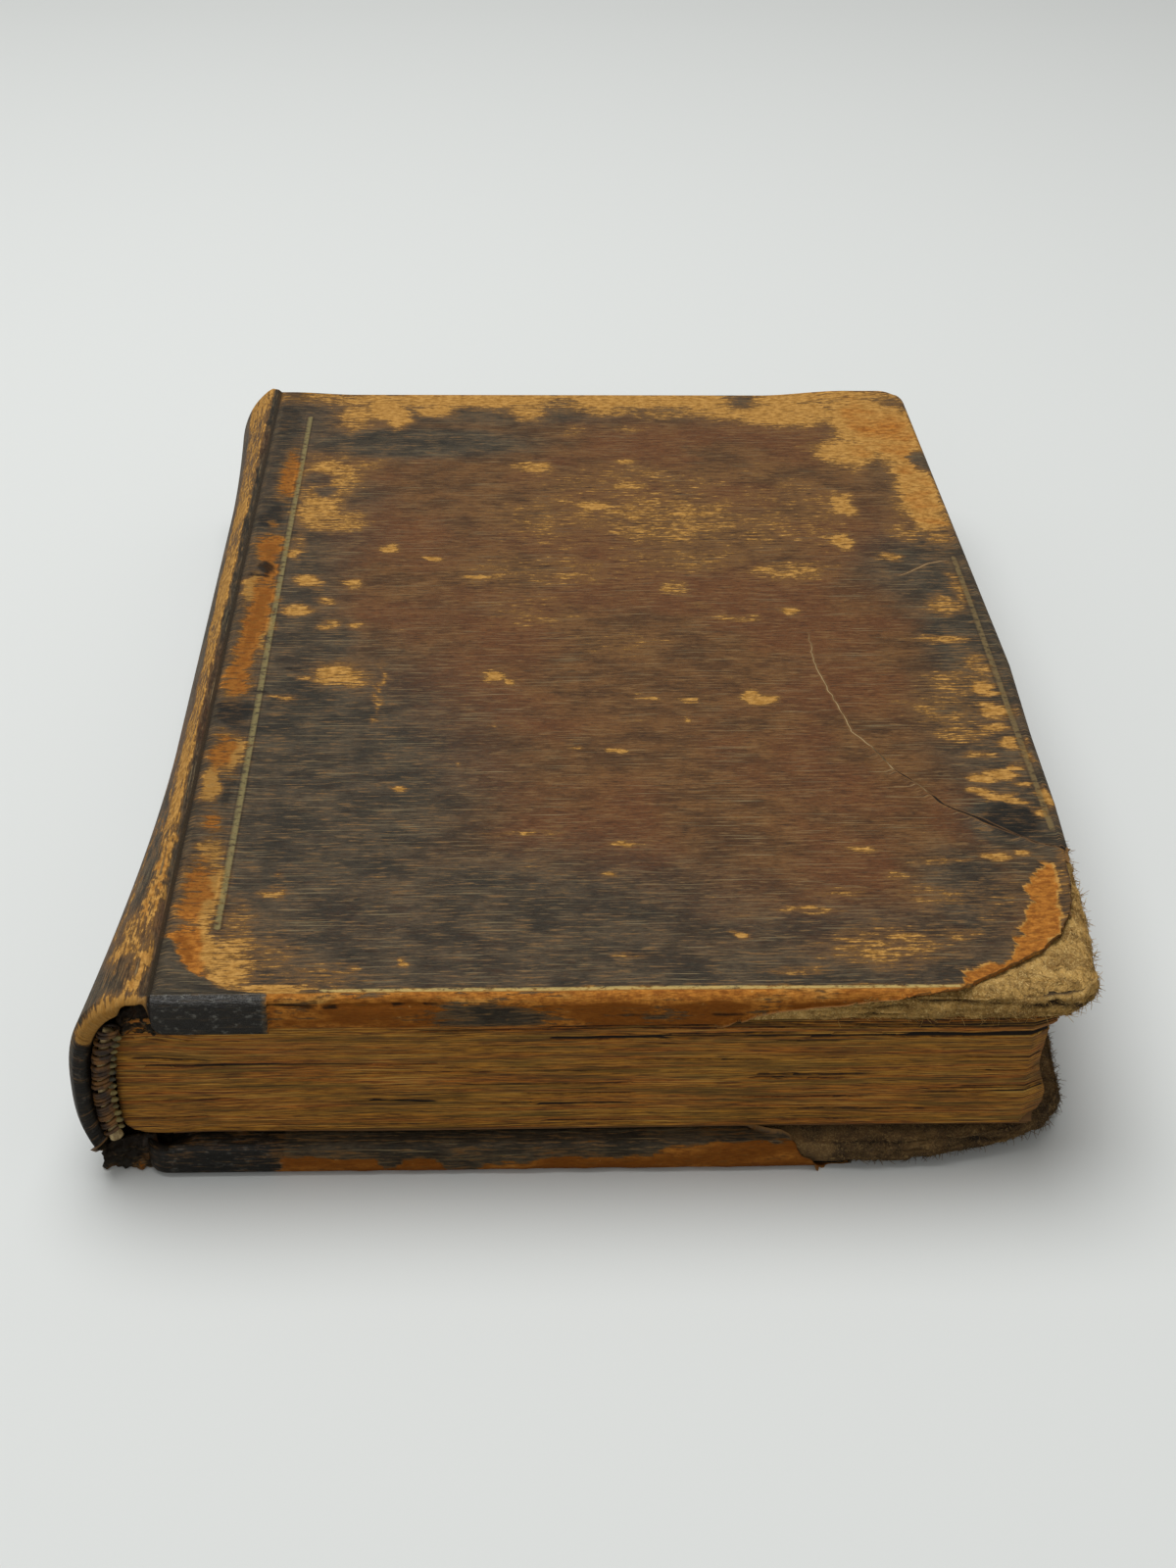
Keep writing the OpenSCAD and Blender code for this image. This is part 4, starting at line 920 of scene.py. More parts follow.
def spine_wear(u, v, length):
    """Wear of the back of the book, in streaks that run lengthwise: the crest beside the front joint is
    rubbed tan, and the rest is cracked black-brown."""
    down = -u - CREST
    wave = noise(v / 6, 1, 8)
    wide = np.interp(v, [30, 60, 100, 140, 180], [1.7, 3.4, 4.3, 5.4, 6.8])
    crest = ease(down, -0.6, -0.3) * ease(wide - down + 0.5 * wave, -0.3, 0.8)
    crest = crest * (0.42 + 0.22 * ease(v, 34, 46) + 0.14 * noise(v / 9, 3, 18))
    streak = dabs(u, v, [
        (-2.9, 25, 0.55, 12, 0.8), (-1.7, 27, 0.45, 10, 0.8), (-5.0, 48, 0.5, 12, 0.5),
        (-6.8, 38, 0.6, 9, 0.5), (-4.8, 13, 2.2, 5.0, 0.58), (-7.5, 22, 0.8, 10, 0.45),
        (-1.8, 6.0, 0.42, 6, 0.9), (-9, 60, 0.6, 14, 0.42)])
    cap = ease(1.3 - v + 0.8 * noise(u / 2.2, v / 2.2, 19, 2), 0, 1.0)
    cap = cap * ease(length * 0.33 - down, 0, 0.5) * 1.05
    cap = np.maximum(cap, 0.42 * ease(4 - v, 0, 3) * ease(7 - down, 0, 3) * ease(down, -0.5, 1))
    head_cap = ease(v - 184.4, 0, 1.4) * ease(length * 0.9 - down, 0, 4) * 0.9
    back_crest = 0.7 * ease(down - length + 2.0, 0, 1.0) * ease(noise(v / 14, 4, 9, 2), -0.3, 0.4)
    bands = sum(0.42 * ridge(v - place, 1.1) for place in (28, 60.5, 93, 125.5, 158))
    rub = np.maximum.reduce([crest, streak, cap, head_cap, back_crest, bands * (down > 4)]) - 0.02
    raw = np.clip(0.2 * cap + 0.6 * streak * (v < 40), 0, 1)
    black = np.clip(0.8 + 0.4 * noise(u / 8, v / 16, 21, 2) + 0.6 * ease(1.5 - v, 0, 2), 0, 1.4)
    # Painted shade: the roll is darkened inside its tail end, and the crack that parts the tan cap from the
    # black lip, the hairline cracks, the joint and the tail end are painted dark
    inner = ease(-v, 1.1, 3.2)
    split = ridge(down - length * 0.33 - 0.3 * noise(v, 2, 23), 0.24) * ease(2.6 - v, 0, 0.8)
    hairs = 0.0
    for place, lean in ((0.42, 0.3), (0.5, -0.2), (0.6, 0.25), (0.72, -0.3), (0.2, 0.6)):
        off = down - length * place - lean * v - 0.5 * noise(v / 1.5, place * 9, 29)
        hairs = np.maximum(hairs, 0.6 * ridge(off, 0.12) * ease(3.5 - v, 0, 1))
    joint, end = 0.5 * ease(down, -1.2, -1.7), 0.36 * ease(2.5 - v, 0, 1.5)
    grime_and_shadow = np.maximum.reduce([inner, split, hairs, joint, end])
    return rub, raw, black, grime_and_shadow


def profile(p, side_h):
    """A turned edge in section: how far out, and how far down, at a length p past the flat face."""
    arc, low_arc = UPPER_R * math.pi / 2, LOWER_R * math.pi / 2
    first = np.clip(p, 0, arc) / UPPER_R
    straight = np.clip(p - arc, 0, side_h)
    second = np.clip(p - arc - side_h, 0, low_arc) / LOWER_R
    under = np.clip(p - arc - side_h - low_arc, 0, None)
    out = UPPER_R * np.sin(first) - LOWER_R * (1 - np.cos(second)) - under
    down = UPPER_R * (1 - np.cos(first)) + straight + LOWER_R * np.sin(second)
    return out, down


EDGE_ROWS = np.array([
    0.25, 0.5, 0.8, 1.1, 1.5, 1.9, 2.2, 2.6, 3.1, 3.6, 4.1, 4.6, 4.9, 5.2, 5.6, 6.0, 7.0, 9.0, 11.5])


def turned_edge(boundary, normal, side_h, bevel=0.0):
    """Rows of points past a boundary of the flat face, turned over and in, with their depths below it."""
    rows = []
    for p in EDGE_ROWS:
        out, down = profile(p, side_h)
        down = down - np.asarray(bevel) * ease(p, 6.0, 7.4)
        place = boundary + normal * np.atleast_1d(out)[:, None]
        limit = (COVER_W - UPPER_R + out, HALF_LEN - UPPER_R + out)
        place[:, 0] = np.minimum(place[:, 0], limit[0])
        place[:, 1] = np.clip(place[:, 1], -limit[1], limit[1])
        rows.append(np.column_stack([place, np.broadcast_to(down, len(place))]))
    return np.array(rows)


def cover_sheet():
    """A cover's leather as a grid of points: rows run tail turn-in, flat face, head turn-in; columns run
    from the hinge to the fore edge, and a strip goes round that edge. Heights are depths below the face."""
    us = np.concatenate([np.array([0.0, 0.3, 0.6, 1.0, 1.5]), np.arange(2.1, TURN_IN_U - 0.3, GRID),
        TURN_IN_U + np.array([-0.05, 0.05]), np.arange(TURN_IN_U + 0.5, COVER_W - UPPER_R - 0.2, GRID),
        [COVER_W - UPPER_R]])
    r = CORNER_R - UPPER_R
    near = r * (1 - np.cos(np.linspace(0, math.pi / 2, 10)))
    end, fore_x = HALF_LEN - UPPER_R, COVER_W - UPPER_R
    ys = np.concatenate([-end + near, np.arange(-end + r + GRID, end - r, GRID), end - near[::-1]])
    from_end = np.clip(end - np.abs(ys), 0, r)
    reach = fore_x - r + np.sqrt(np.clip(r**2 - (r - from_end) ** 2, 0, None))
    start = 96.0
    drawn = start + (us[None] - start) * (reach[:, None] - start) / (fore_x - start)
    u = np.where(us[None] <= start, us[None], drawn)
    flat = np.stack([u, np.broadcast_to(ys[:, None], u.shape), np.zeros_like(u)], -1)
    side_h = INNER_T - UPPER_R - LOWER_R - np.clip(1.0 - us, 0, None) ** 2 * 0.7
    bevel = np.clip(BEVEL_W - us, 0, None) * BEVEL_SLOPE
    tail_rows = turned_edge(flat[0, :, :2], np.array([[0, -1.0]]), side_h, bevel)
    head_rows = turned_edge(flat[-1, :, :2], np.array([[0, 1.0]]), side_h, bevel)
    grid = np.concatenate([tail_rows[::-1], flat, head_rows])
    v_rows = np.concatenate([UPPER_R - EDGE_ROWS[::-1], ys + HALF_LEN, 2 * HALF_LEN - UPPER_R + EDGE_ROWS])
    # Below zero V is a length past the place where the face's edge would stand if it were square
    v_rows = np.where(v_rows < UPPER_R, v_rows - UPPER_R, v_rows)
    rows, columns = grid.shape[:2]
    edge = flat[:, -1, :2]
    normal = np.column_stack([(edge[:, 0] - (fore_x - r)) / r, np.sign(ys) * (r - from_end) / r])
    normal /= np.linalg.norm(normal, axis=1)[:, None]
    fore = turned_edge(edge, normal, INNER_T - UPPER_R - LOWER_R)
    first, count = rows * columns, len(EDGE_ROWS)
    column = np.arange(rows) * columns + columns - 1
    index = np.zeros((count + 1, len(ys)), int)
    index[0] = column[count : count + len(ys)]
    index[1:, 1:-1] = first + np.arange(count * (len(ys) - 2)).reshape(count, -1)
    index[1:, 0] = column[:count][::-1]
    index[1:, -1] = column[count + len(ys) :]
    corners = (index[:-1, :-1], index[1:, :-1], index[1:, 1:], index[:-1, 1:])
    fore_faces = np.stack([c.ravel() for c in corners], 1)
    strip = fore[:, 1:-1].reshape(-1, 3)
    strip_u = (edge[None, 1:-1, 0] + normal[None, 1:-1, 0] * EDGE_ROWS[:, None]).ravel()
    strip_v = (ys[None, 1:-1] + HALF_LEN + normal[None, 1:-1, 1] * EDGE_ROWS[:, None]).ravel()
    return grid, v_rows, strip, strip_u, strip_v, fore_faces


def cover_height(u, v):
    """Depth of the outer face below the top of the cover: the groove at the hinge and slight waves."""
    groove = GROOVE_D * ridge(u + 0.05, 0.55)
    waves = 0.10 * (1 + noise(u / 34, v / 41, 2)) + 0.06 * (1 + noise(u / 9, v / 12, 6))
    creases = 0.05 * (1 + noise(u / 6, v / 0.95, 38, 2)) * ease(noise(u / 20, v / 20, 39), -0.3, 0.5)
    return groove + (waves + creases) * ease(u, 1, 9)


def ruled_lines(u, v):
    """Signed distance from each line of the blind-ruled border, made larger past the line's ends."""
    past = [6 * (1 - ease(value, *span)) for value, span in (
        (v, (12, 14)), (176 - v, (0, 3)), (v, (32, 35)), (118 - v, (0, 3)), (u, (16, 20)), (98 - u, (0, 3)))]
    fore = u - np.interp(v, [34, 118], [113.4, 114.6])
    tail = v - 1.75 - 0.15 * noise(u / 15, 2.0, 32)
    return np.column_stack([np.abs(u - RULE_U + 0.12 * noise(v / 30, 1.0, 33)) + past[0] + past[1],
        np.abs(fore) + past[2] + past[3], np.abs(tail) + past[4] + past[5]])


# The crack, as rows of V, U and half width
CRACK = [(28.5, 117, 0.3), (30.4, 113.9, 0.36), (31.7, 110.3, 0.34), (36, 105.5, 0.3), (38.7, 102.5, 0.3),
    (40.8, 100.1, 0.26), (46.2, 97.1, 0.22), (49.8, 94.7, 0.14), (57, 92, 0.09), (60, 90.5, 0.09),
    (70, 88.8, 0.08), (79, 87.4, 0.07), (99, 88.0, 0.0), (103, 98, 0.0), (108.8, 105.5, 0.06),
    (112.5, 110, 0.07), (114, 113.6, 0.07)]


def crack_facts(u, v):
    """Signed distance from the crack that crosses the fore half of the cover, and its half width."""
    crack_v, crack_u, half = np.array(CRACK).T
    jitter = 0.3 * noise(v / 1.3, 0, 14, 3)
    slope = np.interp(v + 0.4, crack_v, crack_u) - np.interp(v - 0.4, crack_v, crack_u)
    away = (u - np.interp(v, crack_v, crack_u) - jitter) / np.hypot(0.8, slope) * 0.8
    return away, np.interp(v, crack_v, half, 0, 0) * (1 + 0.5 * noise(v / 2.1, 5, 15))


def along_sheet(grid, u, v_rows, strip_count):
    """Which way a point of the sheet moves for a millimetre of U and of V. One whose way is out of measure,
    because the sheet turns over there, doesn't move."""
    with np.errstate(divide="ignore", invalid="ignore"):
        by_u = np.gradient(grid, axis=1) / np.gradient(u, axis=1)[..., None]
        by_v = np.gradient(grid, axis=0) / np.gradient(v_rows)[:, None, None]
    ways = []
    for way, plain in ((by_u, (1, 0, 0)), (by_v, (0, 1, 0))):
        size = np.linalg.norm(way, axis=-1, keepdims=True)
        way = np.where((size > 0.2) & (size < 3), way, 0.0).reshape(-1, 3)
        ways.append(np.concatenate([way, np.tile(plain, (strip_count, 1))]))
    return ways


def torn(points, faces, u, v, inside, by_u, by_v):
    """Drops faces that lie wholly outside a torn edge and draws the other outside points back to the edge.
    inside(u, v) is a distance in millimetres, above zero on the leather that is left."""
    depth = inside(u, v)
    keep = (depth[faces] > 0).any(1)
    part = np.zeros(len(points), bool)
    part[faces[keep].ravel()] = True
    move = part & (depth <= 0)
    step = 0.05
    for _ in range(3):
        slope_u = (inside(u + step, v) - inside(u - step, v)) / (2 * step)
        slope_v = (inside(u, v + step) - inside(u, v - step)) / (2 * step)
        size = np.maximum(slope_u**2 + slope_v**2, 0.3)
        shift = np.clip(-depth / size, -0.8, 0.8) * move
        u, v = u + shift * slope_u, v + shift * slope_v
        points += (shift * slope_u)[:, None] * by_u + (shift * slope_v)[:, None] * by_v
        depth = inside(u, v)
    return points, faces[keep], u, v, depth


def with_rim(points, faces, values, depth, seed):
    """Gives a sheet's open edges a rim, so that torn leather shows its thickness."""
    faces = np.asarray(faces)
    edges = np.concatenate([faces[:, [k, (k + 1) % 4]] for k in range(4)])
    key = np.sort(edges, 1)
    _, first, count = np.unique(key, axis=0, return_index=True, return_counts=True)
    border = edges[first[count == 1]]
    normal = np.zeros_like(points)
    across = np.cross(points[faces[:, 2]] - points[faces[:, 0]], points[faces[:, 3]] - points[faces[:, 1]])
    for k in range(4):
        np.add.at(normal, faces[:, k], across)
    normal /= np.maximum(np.linalg.norm(normal, axis=1), 1e-12)[:, None]
    rim = np.unique(border)
    place = np.full(len(points), -1)
    place[rim] = len(points) + np.arange(len(rim))
    uneven = 1 + 0.2 * noise(points[rim, 0], points[rim, 1], seed)
    under = points[rim] - normal[rim] * depth * uneven[:, None]
    walls = np.stack([border[:, 1], border[:, 0], place[border[:, 0]], place[border[:, 1]]], 1)
    grown = {key: np.concatenate([value, value[rim]]) for key, value in values.items()}
    grown["cut_edge"] = np.concatenate([np.zeros(len(points)), np.ones(len(rim))])
    return np.concatenate([points, under]), np.concatenate([faces, walls]), grown


# How far the leather back stands out from the hinge line, and how its two ends are flared and rolled
BULGE = {"middle": 6.7, "tail": -node_box("spine_leather")[0][0], "head": 8.15}
LEATHER_HALF = MID_Z - 0.1
FLARE = {"tail": 68.0, "head": 40.0}
CAP = {"tail": 2.5, "head": 1.7}


def spine_point(y, turn, inset):
    """A point on the leather back, as its CAD solid has it. turn runs from -1 at the back crest to 1 at the
    front one."""
    tail = np.clip(1 - (y + HALF_LEN) / FLARE["tail"], 0, 1) ** 1.7
    head = np.clip(1 - (HALF_LEN - y) / FLARE["head"], 0, 1) ** 1.7
    middle = BULGE["middle"]
    out = middle + (BULGE["tail"] - middle) * tail + (BULGE["head"] - middle) * head
    rise = out - CREST
    r = (LEATHER_HALF**2 + rise**2) / (2 * rise)
    angle = turn * np.arcsin(np.clip(LEATHER_HALF / r, -1, 1))
    arc = np.stack([r - rise - (r - inset) * np.cos(angle), (r - inset) * np.sin(angle)], -1)
    quarter = turn * math.pi / 2
    oval = np.stack([-(rise - inset) * np.clip(np.cos(quarter), 0, 1) ** 0.8,
        np.sign(turn) * (LEATHER_HALF - inset) * np.abs(np.sin(quarter)) ** 0.8], -1)
    wide = np.minimum(1, tail + 0.3 * head)[..., None]
    return (1 - wide) * arc + wide * oval + (-CREST, MID_Z)


def spine_sheet(v_rows):
    """Points of the back of the book for the rows of a cover's sheet, from back crest to front crest."""
    turns = np.sin(np.linspace(-1, 1, 53) * math.pi / 2)
    turns = 0.35 * turns + 0.65 * np.linspace(-1, 1, 53)
    points = []
    for v in v_rows:
        end = "tail" if v < HALF_LEN else "head"
        way = -1 if end == "tail" else 1
        from_end = v if end == "tail" else 2 * HALF_LEN - v
        thick = LEATHER_T + (CAP[end] - LEATHER_T) * ease(0.95 - np.abs(turns), 0, 0.15)
        roll = thick / 2
        past = roll - from_end
        lip = np.clip(past / roll, 0, math.pi)
        inward = np.clip(past - roll * math.pi, 0, None)
        from_edge = np.where(past < 0, from_end, roll * (1 - np.sin(lip)) + inward)
        inset = roll * (1 - np.cos(lip)) * (past > 0)
        y = way * (HALF_LEN - from_edge)
        point = spine_point(y, turns, inset)
        points.append(np.column_stack([point[:, 0], y, point[:, 1]]))
    points = np.array(points)
    steps = np.linalg.norm(np.diff(points[len(v_rows) // 2][:, [0, 2]], axis=0), axis=1)
    length = np.concatenate([[0], np.cumsum(steps)])
    return points, -CREST - (length[-1] - length), length[-1]


def leather(name):
    """Dyed calf, rubbed. Its grain was crushed in boarding to fine creases about 0.4 mm apart along U. The
    dyed face is smooth and a little glossy; where it has rubbed through, the tan flesh is like suede."""
    made, tree = material(name)
    spot, wear, crack, rules, cut_edge, grime_and_shadow = (
        add(tree, "Attribute", {"attribute_name": key}, {}).outputs[kind]
        for key, kind in (("spot", "Vector"), ("wear", "Vector"), ("crack", "Vector"), ("rules", "Vector"),
            ("cut_edge", "Fac"), ("grime_and_shadow", "Fac")))
    rub, raw, black = add(tree, "SeparateXYZ", {}, {0: wear}).outputs
    away, width, glaze = add(tree, "SeparateXYZ", {}, {0: crack}).outputs
    lines = add(tree, "SeparateXYZ", {}, {0: rules}).outputs
    # Each layer of noise: bumps per mm along U and V, detail, roughness
    layers = []
    for scale, detail, rough in (
            ((0.26, 2.6, 1), 4.0, 0.65), ((0.9, 5.6, 1), 3.0, 0.6), ((0.75, 1.25, 1), 6.0, 0.68),
            ((0.12, 0.2, 1), 6.0, 0.62), ((0.04, 0.045, 1), 3.0, 0.5), ((3.1, 4.2, 1), 3.0, 0.6),
            ((0.09, 4.2, 1), 2.0, 0.5)):
        place = add(tree, "VectorMath", {"operation": "MULTIPLY"}, {0: spot, 1: scale})
        settings = {"Vector": place, "Scale": 1.0, "Detail": detail, "Roughness": rough}
        layers.append(add(tree, "TexNoise", {}, settings))
    streak, fine, flakes, blotch, broad, pores, scratch = layers
    # The dyed face: umber and red-brown in the middle, nearly black round it, in streaks along the creases
    tone = add(tree, "MapRange", STEP, {0: blotch, 1: 0.38, 2: 0.62})
    dyed = add(tree, "Mix", MIX, {0: tone, 6: colour("#4a3119"), 7: colour("#624222")})
    dyed = coated(tree, dyed, [(broad, 0.44, 0.60, 0.7, "#5e381c")])
    dark = add(tree, "Math", {"operation": "MULTIPLY_ADD"}, {0: streak, 1: 1.1, 2: -0.55})
    dark = add(tree, "Math", {"operation": "MULTIPLY_ADD"}, {0: flakes, 1: 0.5, 2: dark})
    dark = add(tree, "Math", {"operation": "ADD"}, {0: dark, 1: black})
    dark = add(tree, "MapRange", STEP, {0: dark, 1: 0.45, 2: 1.15})
    slate = add(tree, "Mix", MIX, {0: tone, 6: colour("#2c2820"), 7: colour("#463d2f")})
    unworn = add(tree, "MapRange", STEP, {0: black, 1: 1.0, 2: 1.35, 4: 0.9})
    slate = add(tree, "Mix", MIX, {0: unworn, 6: slate, 7: colour("#0b0b09")})
    dyed = add(tree, "Mix", MIX, {0: dark, 6: dyed, 7: slate})
    grain = add(tree, "MapRange", {}, {0: fine, 1: 0.32, 2: 0.68, 3: 0.68, 4: 1.34})
    dyed = add(tree, "Mix", MULTIPLY, {0: 1.0, 6: dyed, 7: grain})
    worn = add(tree, "MapRange", {}, {0: unworn, 2: 0.9, 3: 1.0, 4: 0.15})
    for layer, low, high, most, code in (
            (streak, 0.54, 0.66, 0.55, "#876a44"), (streak, 0.45, 0.34, 0.6, "#21170e"),
            (fine, 0.39, 0.30, 0.7, "#1b130c"), (scratch, 0.62, 0.68, 0.5, "#94835f"),
            (pores, 0.68, 0.76, 0.4, "#927c55"), (pores, 0.34, 0.26, 0.6, "#18120c")):
        share = add(tree, "MapRange", STEP, {0: layer, 1: low, 2: high, 4: most})
        share = add(tree, "Math", {"operation": "MULTIPLY"}, {0: share, 1: worn})
        dyed = add(tree, "Mix", MIX, {0: share, 6: dyed, 7: colour(code)})
    # Rubbing starts on the ridges between creases, so noise breaks each rubbed patch into streaks and flakes
    rubbed = rub
    for layer, weight in ((streak, 2.0), (flakes, 0.75), (blotch, 0.7), (fine, 0.4)):
        centred = add(tree, "Math", {"operation": "MULTIPLY_ADD"}, {0: layer, 1: weight, 2: -weight / 2})
        rubbed = add(tree, "Math", {"operation": "ADD"}, {0: rubbed, 1: centred})
    bare = add(tree, "MapRange", STEP, {0: rubbed, 1: 0.42, 2: 0.60})
    flesh = add(tree, "MapRange", STEP, {0: flakes, 1: 0.38, 2: 0.62})
    suede = add(tree, "Mix", MIX, {0: flesh, 6: colour("#946a30"), 7: colour("#b58847")})
    orange = add(tree, "Mix", MIX, {0: flesh, 6: colour("#824d1b"), 7: colour("#ad702b")})
    is_raw = add(tree, "Math", {"operation": "MULTIPLY_ADD"}, {0: blotch, 1: 1.4, 2: -0.7})
    is_raw = add(tree, "Math", {"operation": "ADD"}, {0: is_raw, 1: raw})
    is_raw = add(tree, "MapRange", STEP, {0: is_raw, 1: 0.35, 2: 0.85})
    deep = add(tree, "MapRange", STEP, {0: raw, 1: 1.0, 2: 1.3, 4: 0.9})
    orange = add(tree, "Mix", MIX, {0: deep, 6: orange, 7: colour("#73400f")})
    under = add(tree, "Mix", MIX, {0: is_raw, 6: suede, 7: orange})
    nap = add(tree, "MapRange", {}, {0: fine, 1: 0.3, 2: 0.7, 3: 0.78, 4: 1.18})
    under = add(tree, "Mix", MULTIPLY, {0: 1.0, 6: under, 7: nap})
    under = coated(tree, under, (
        (streak, 0.43, 0.33, 0.7, "#6d4a22"), (pores, 0.34, 0.26, 0.5, "#5a3d1e"),
        (flakes, 0.62, 0.72, 0.35, "#cda464")))
    shade = coated(tree, dyed, (
        (rubbed, 0.04, 0.46, 0.68, "#75552f"), (rubbed, 0.30, 0.44, 0.38, "#5c3d1f")))
    shade = add(tree, "Mix", MIX, {0: bare, 6: shade, 7: under})
    # The blind-ruled border holds a greenish gold size, worn through in places, between thin dark edges
    kept = add(tree, "MapRange", STEP, {0: flakes, 1: 0.36, 2: 0.52, 4: 0.72})
    sizes = ((0.42, "#83774c"), (0.42, "#75633f"), (0.30, "#b7a165"))
    for away_from, (half, code) in zip(lines, sizes):
        shade = coated(tree, shade, [(away_from, half + 0.45, half + 0.1, 0.3, "#2b2013")])
        inked = add(tree, "MapRange", STEP, {0: away_from, 1: half + 0.1, 2: half - 0.15})
        inked = add(tree, "Math", {"operation": "MULTIPLY"}, {0: inked, 1: kept})
        shade = add(tree, "Mix", MIX, {0: inked, 6: shade, 7: colour(code)})
    # The crack is a slit, pale where narrow and painted near black as shade where wide, with a pale lip
    # where the skin has lifted
    near = add(tree, "Math", {"operation": "ABSOLUTE"}, {0: away})
    open_by = add(tree, "Math", {"operation": "SUBTRACT"}, {0: width, 1: near})
    is_open = add(tree, "MapRange", STEP, {0: width, 1: 0.03, 2: 0.06})
    slit = add(tree, "MapRange", STEP, {0: open_by, 1: -0.06, 2: 0.06})
    slit = add(tree, "Math", {"operation": "MULTIPLY"}, {0: slit, 1: is_open})
    lip = add(tree, "MapRange", STEP, {0: open_by, 1: -0.40, 2: -0.08, 4: 0.6})
    lip = add(tree, "Math", {"operation": "MULTIPLY"}, {0: lip, 1: is_open})
    shade = add(tree, "Mix", MIX, {0: lip, 6: shade, 7: colour("#6e4e2c")})
    wide_crack = add(tree, "MapRange", STEP, {0: width, 1: 0.10, 2: 0.18})
    slit_shade = add(tree, "Mix", MIX, {0: wide_crack, 6: colour("#a38a63"), 7: colour("#140d07")})
    shade = add(tree, "Mix", MIX, {0: slit, 6: shade, 7: slit_shade})
    # Pale grey marks on the glazed black leather: scuffs, and painted sheen
    scuffs_and_sheen = add(tree, "MapRange", STEP, {0: flakes, 1: 0.53, 2: 0.70, 4: 0.45})
    scuffs_and_sheen = add(tree, "Math", {"operation": "MULTIPLY"}, {0: scuffs_and_sheen, 1: glaze})
    shade = add(tree, "Mix", MIX, {0: scuffs_and_sheen, 6: shade, 7: colour("#84837b")})
    shade = add(tree, "Mix", MIX, {0: cut_edge, 6: shade, 7: colour("#7d5c36")})
    # Soiling and painted shade darken the colour, broken up by flakes
    dirty_and_shadowed = add(tree, "Math", {"operation": "MULTIPLY_ADD"}, {0: flakes, 1: 0.8, 2: grime_and_shadow})
    shade = coated(tree, shade, [(dirty_and_shadowed, 0.62, 1.15, 0.92, "#1a130c")])
    matt = add(tree, "MapRange", {}, {0: bare, 3: 0.52, 4: 0.9})
    gloss = add(tree, "MapRange", {}, {0: pores, 1: 0.3, 2: 0.7, 3: -0.1, 4: 0.1})
    matt = add(tree, "Math", {"operation": "ADD"}, {0: matt, 1: gloss})
    glazed = add(tree, "Math", {"operation": "MULTIPLY_ADD"}, {0: glaze, 1: -0.2, 2: matt})
    shine = add(tree, "MapRange", {}, {0: glaze, 3: 0.12, 4: 0.26})
    height = add(tree, "Math", {"operation": "MULTIPLY_ADD"}, {0: bare, 1: -0.6, 2: streak})
    height = add(tree, "Math", {"operation": "MULTIPLY_ADD"}, {0: fine, 1: 0.5, 2: height})
    height = add(tree, "Math", {"operation": "MULTIPLY_ADD"}, {0: slit, 1: -1.2, 2: height})
    furrow = add(tree, "MapRange", STEP, {0: lines[0], 1: 0.7, 2: 0.3})
    height = add(tree, "Math", {"operation": "MULTIPLY_ADD"}, {0: furrow, 1: -0.5, 2: height})
    bump = add(tree, "Bump", {}, {"Strength": 0.7, "Distance": 0.0003, "Height": height})
    surface(tree, shade, bump, Roughness=glazed, Specular_IOR_Level=shine)
    return made


calf = leather("rubbed_calf")


def sheet_with(beside, beside_u, grid, v_rows, strip, strip_u, strip_v, fore_faces):
    """A cover's sheet with more columns of points beside its hinge. Gives its points, faces, U and V, and
    which way each point moves for a millimetre of U and of V."""
    whole = np.concatenate([beside, grid], 1)
    rows, columns = whole.shape[:2]
    kept = grid.shape[1]
    remap = (np.arange(rows)[:, None] * columns + columns - kept + np.arange(kept)).ravel()
    remap = np.concatenate([remap, rows * columns + np.arange(len(strip))])
    faces = np.concatenate([grid_faces(rows, columns), remap[fore_faces]])
    u = np.concatenate([np.tile(beside_u, (rows, 1)), grid[..., 0]], 1)
    ways = along_sheet(whole, u, v_rows, len(strip))
    u = np.concatenate([u.ravel(), strip_u])
    v = np.concatenate([np.repeat(v_rows, columns), strip_v])
    return np.concatenate([whole.reshape(-1, 3), strip]), faces, u, v, *ways


# The front cover and the back of the book are one sheet, which bends at the front hinge
grid, v_rows, strip, *fore_edge = cover_sheet()
back_points, back_u, back_len = spine_sheet(v_rows)
grid[..., 2] = BOOK_T - grid[..., 2]
strip[:, 2] = BOOK_T - strip[:, 2]
valley = np.array([-1.1, -0.6])
across = ((valley + CREST) / CREST)[None, :, None]
between = back_points[:, -1:] + (grid[:, :1] - back_points[:, -1:]) * across
between[..., 2] -= 0.28 * ease(HALF_LEN - 1 - abs(between[..., 1]), 0, 1)
beside = np.concatenate([back_points, between], 1)
beside_u = np.concatenate([back_u, valley])
points, faces, u, v, by_u, by_v = sheet_with(beside, beside_u, grid, v_rows, strip, *fore_edge)


def front_left(u, v):
    """How far inside the leather that is left on the front cover and the back a spot lies."""
    ragged = 0.35 * noise(u / 1.8, v / 1.8, 26, 3)
    side_end = np.interp(-v, [0.0, 0.6, 1.6, 3.0, 5.0, 9.0], [96.5, 95.0, 88.0, 74.0, 67.0, 64.0])
    side_end = side_end + 1.6 * noise(u / 3, v / 1.2, 27, 2)
    seen = u - drawn_in(u, v, FRAYED["front"]["worn"])
    on_side = side_end - seen
    on_face = edge_distance(seen, v, TORN_EDGE) + ragged
    at_edge = np.maximum(on_face, np.minimum(on_side, 0.4))
    left = np.where(v < 0, on_side, np.where(v < 0.6, at_edge, on_face))
    # At the tail the lower end of the back has torn off
    down = -u - CREST - back_len
    return np.where(u < -CREST - 4, (-down - 8.6 + 0.9 * np.clip(v, 0, None)) + 0.4 * ragged, left)


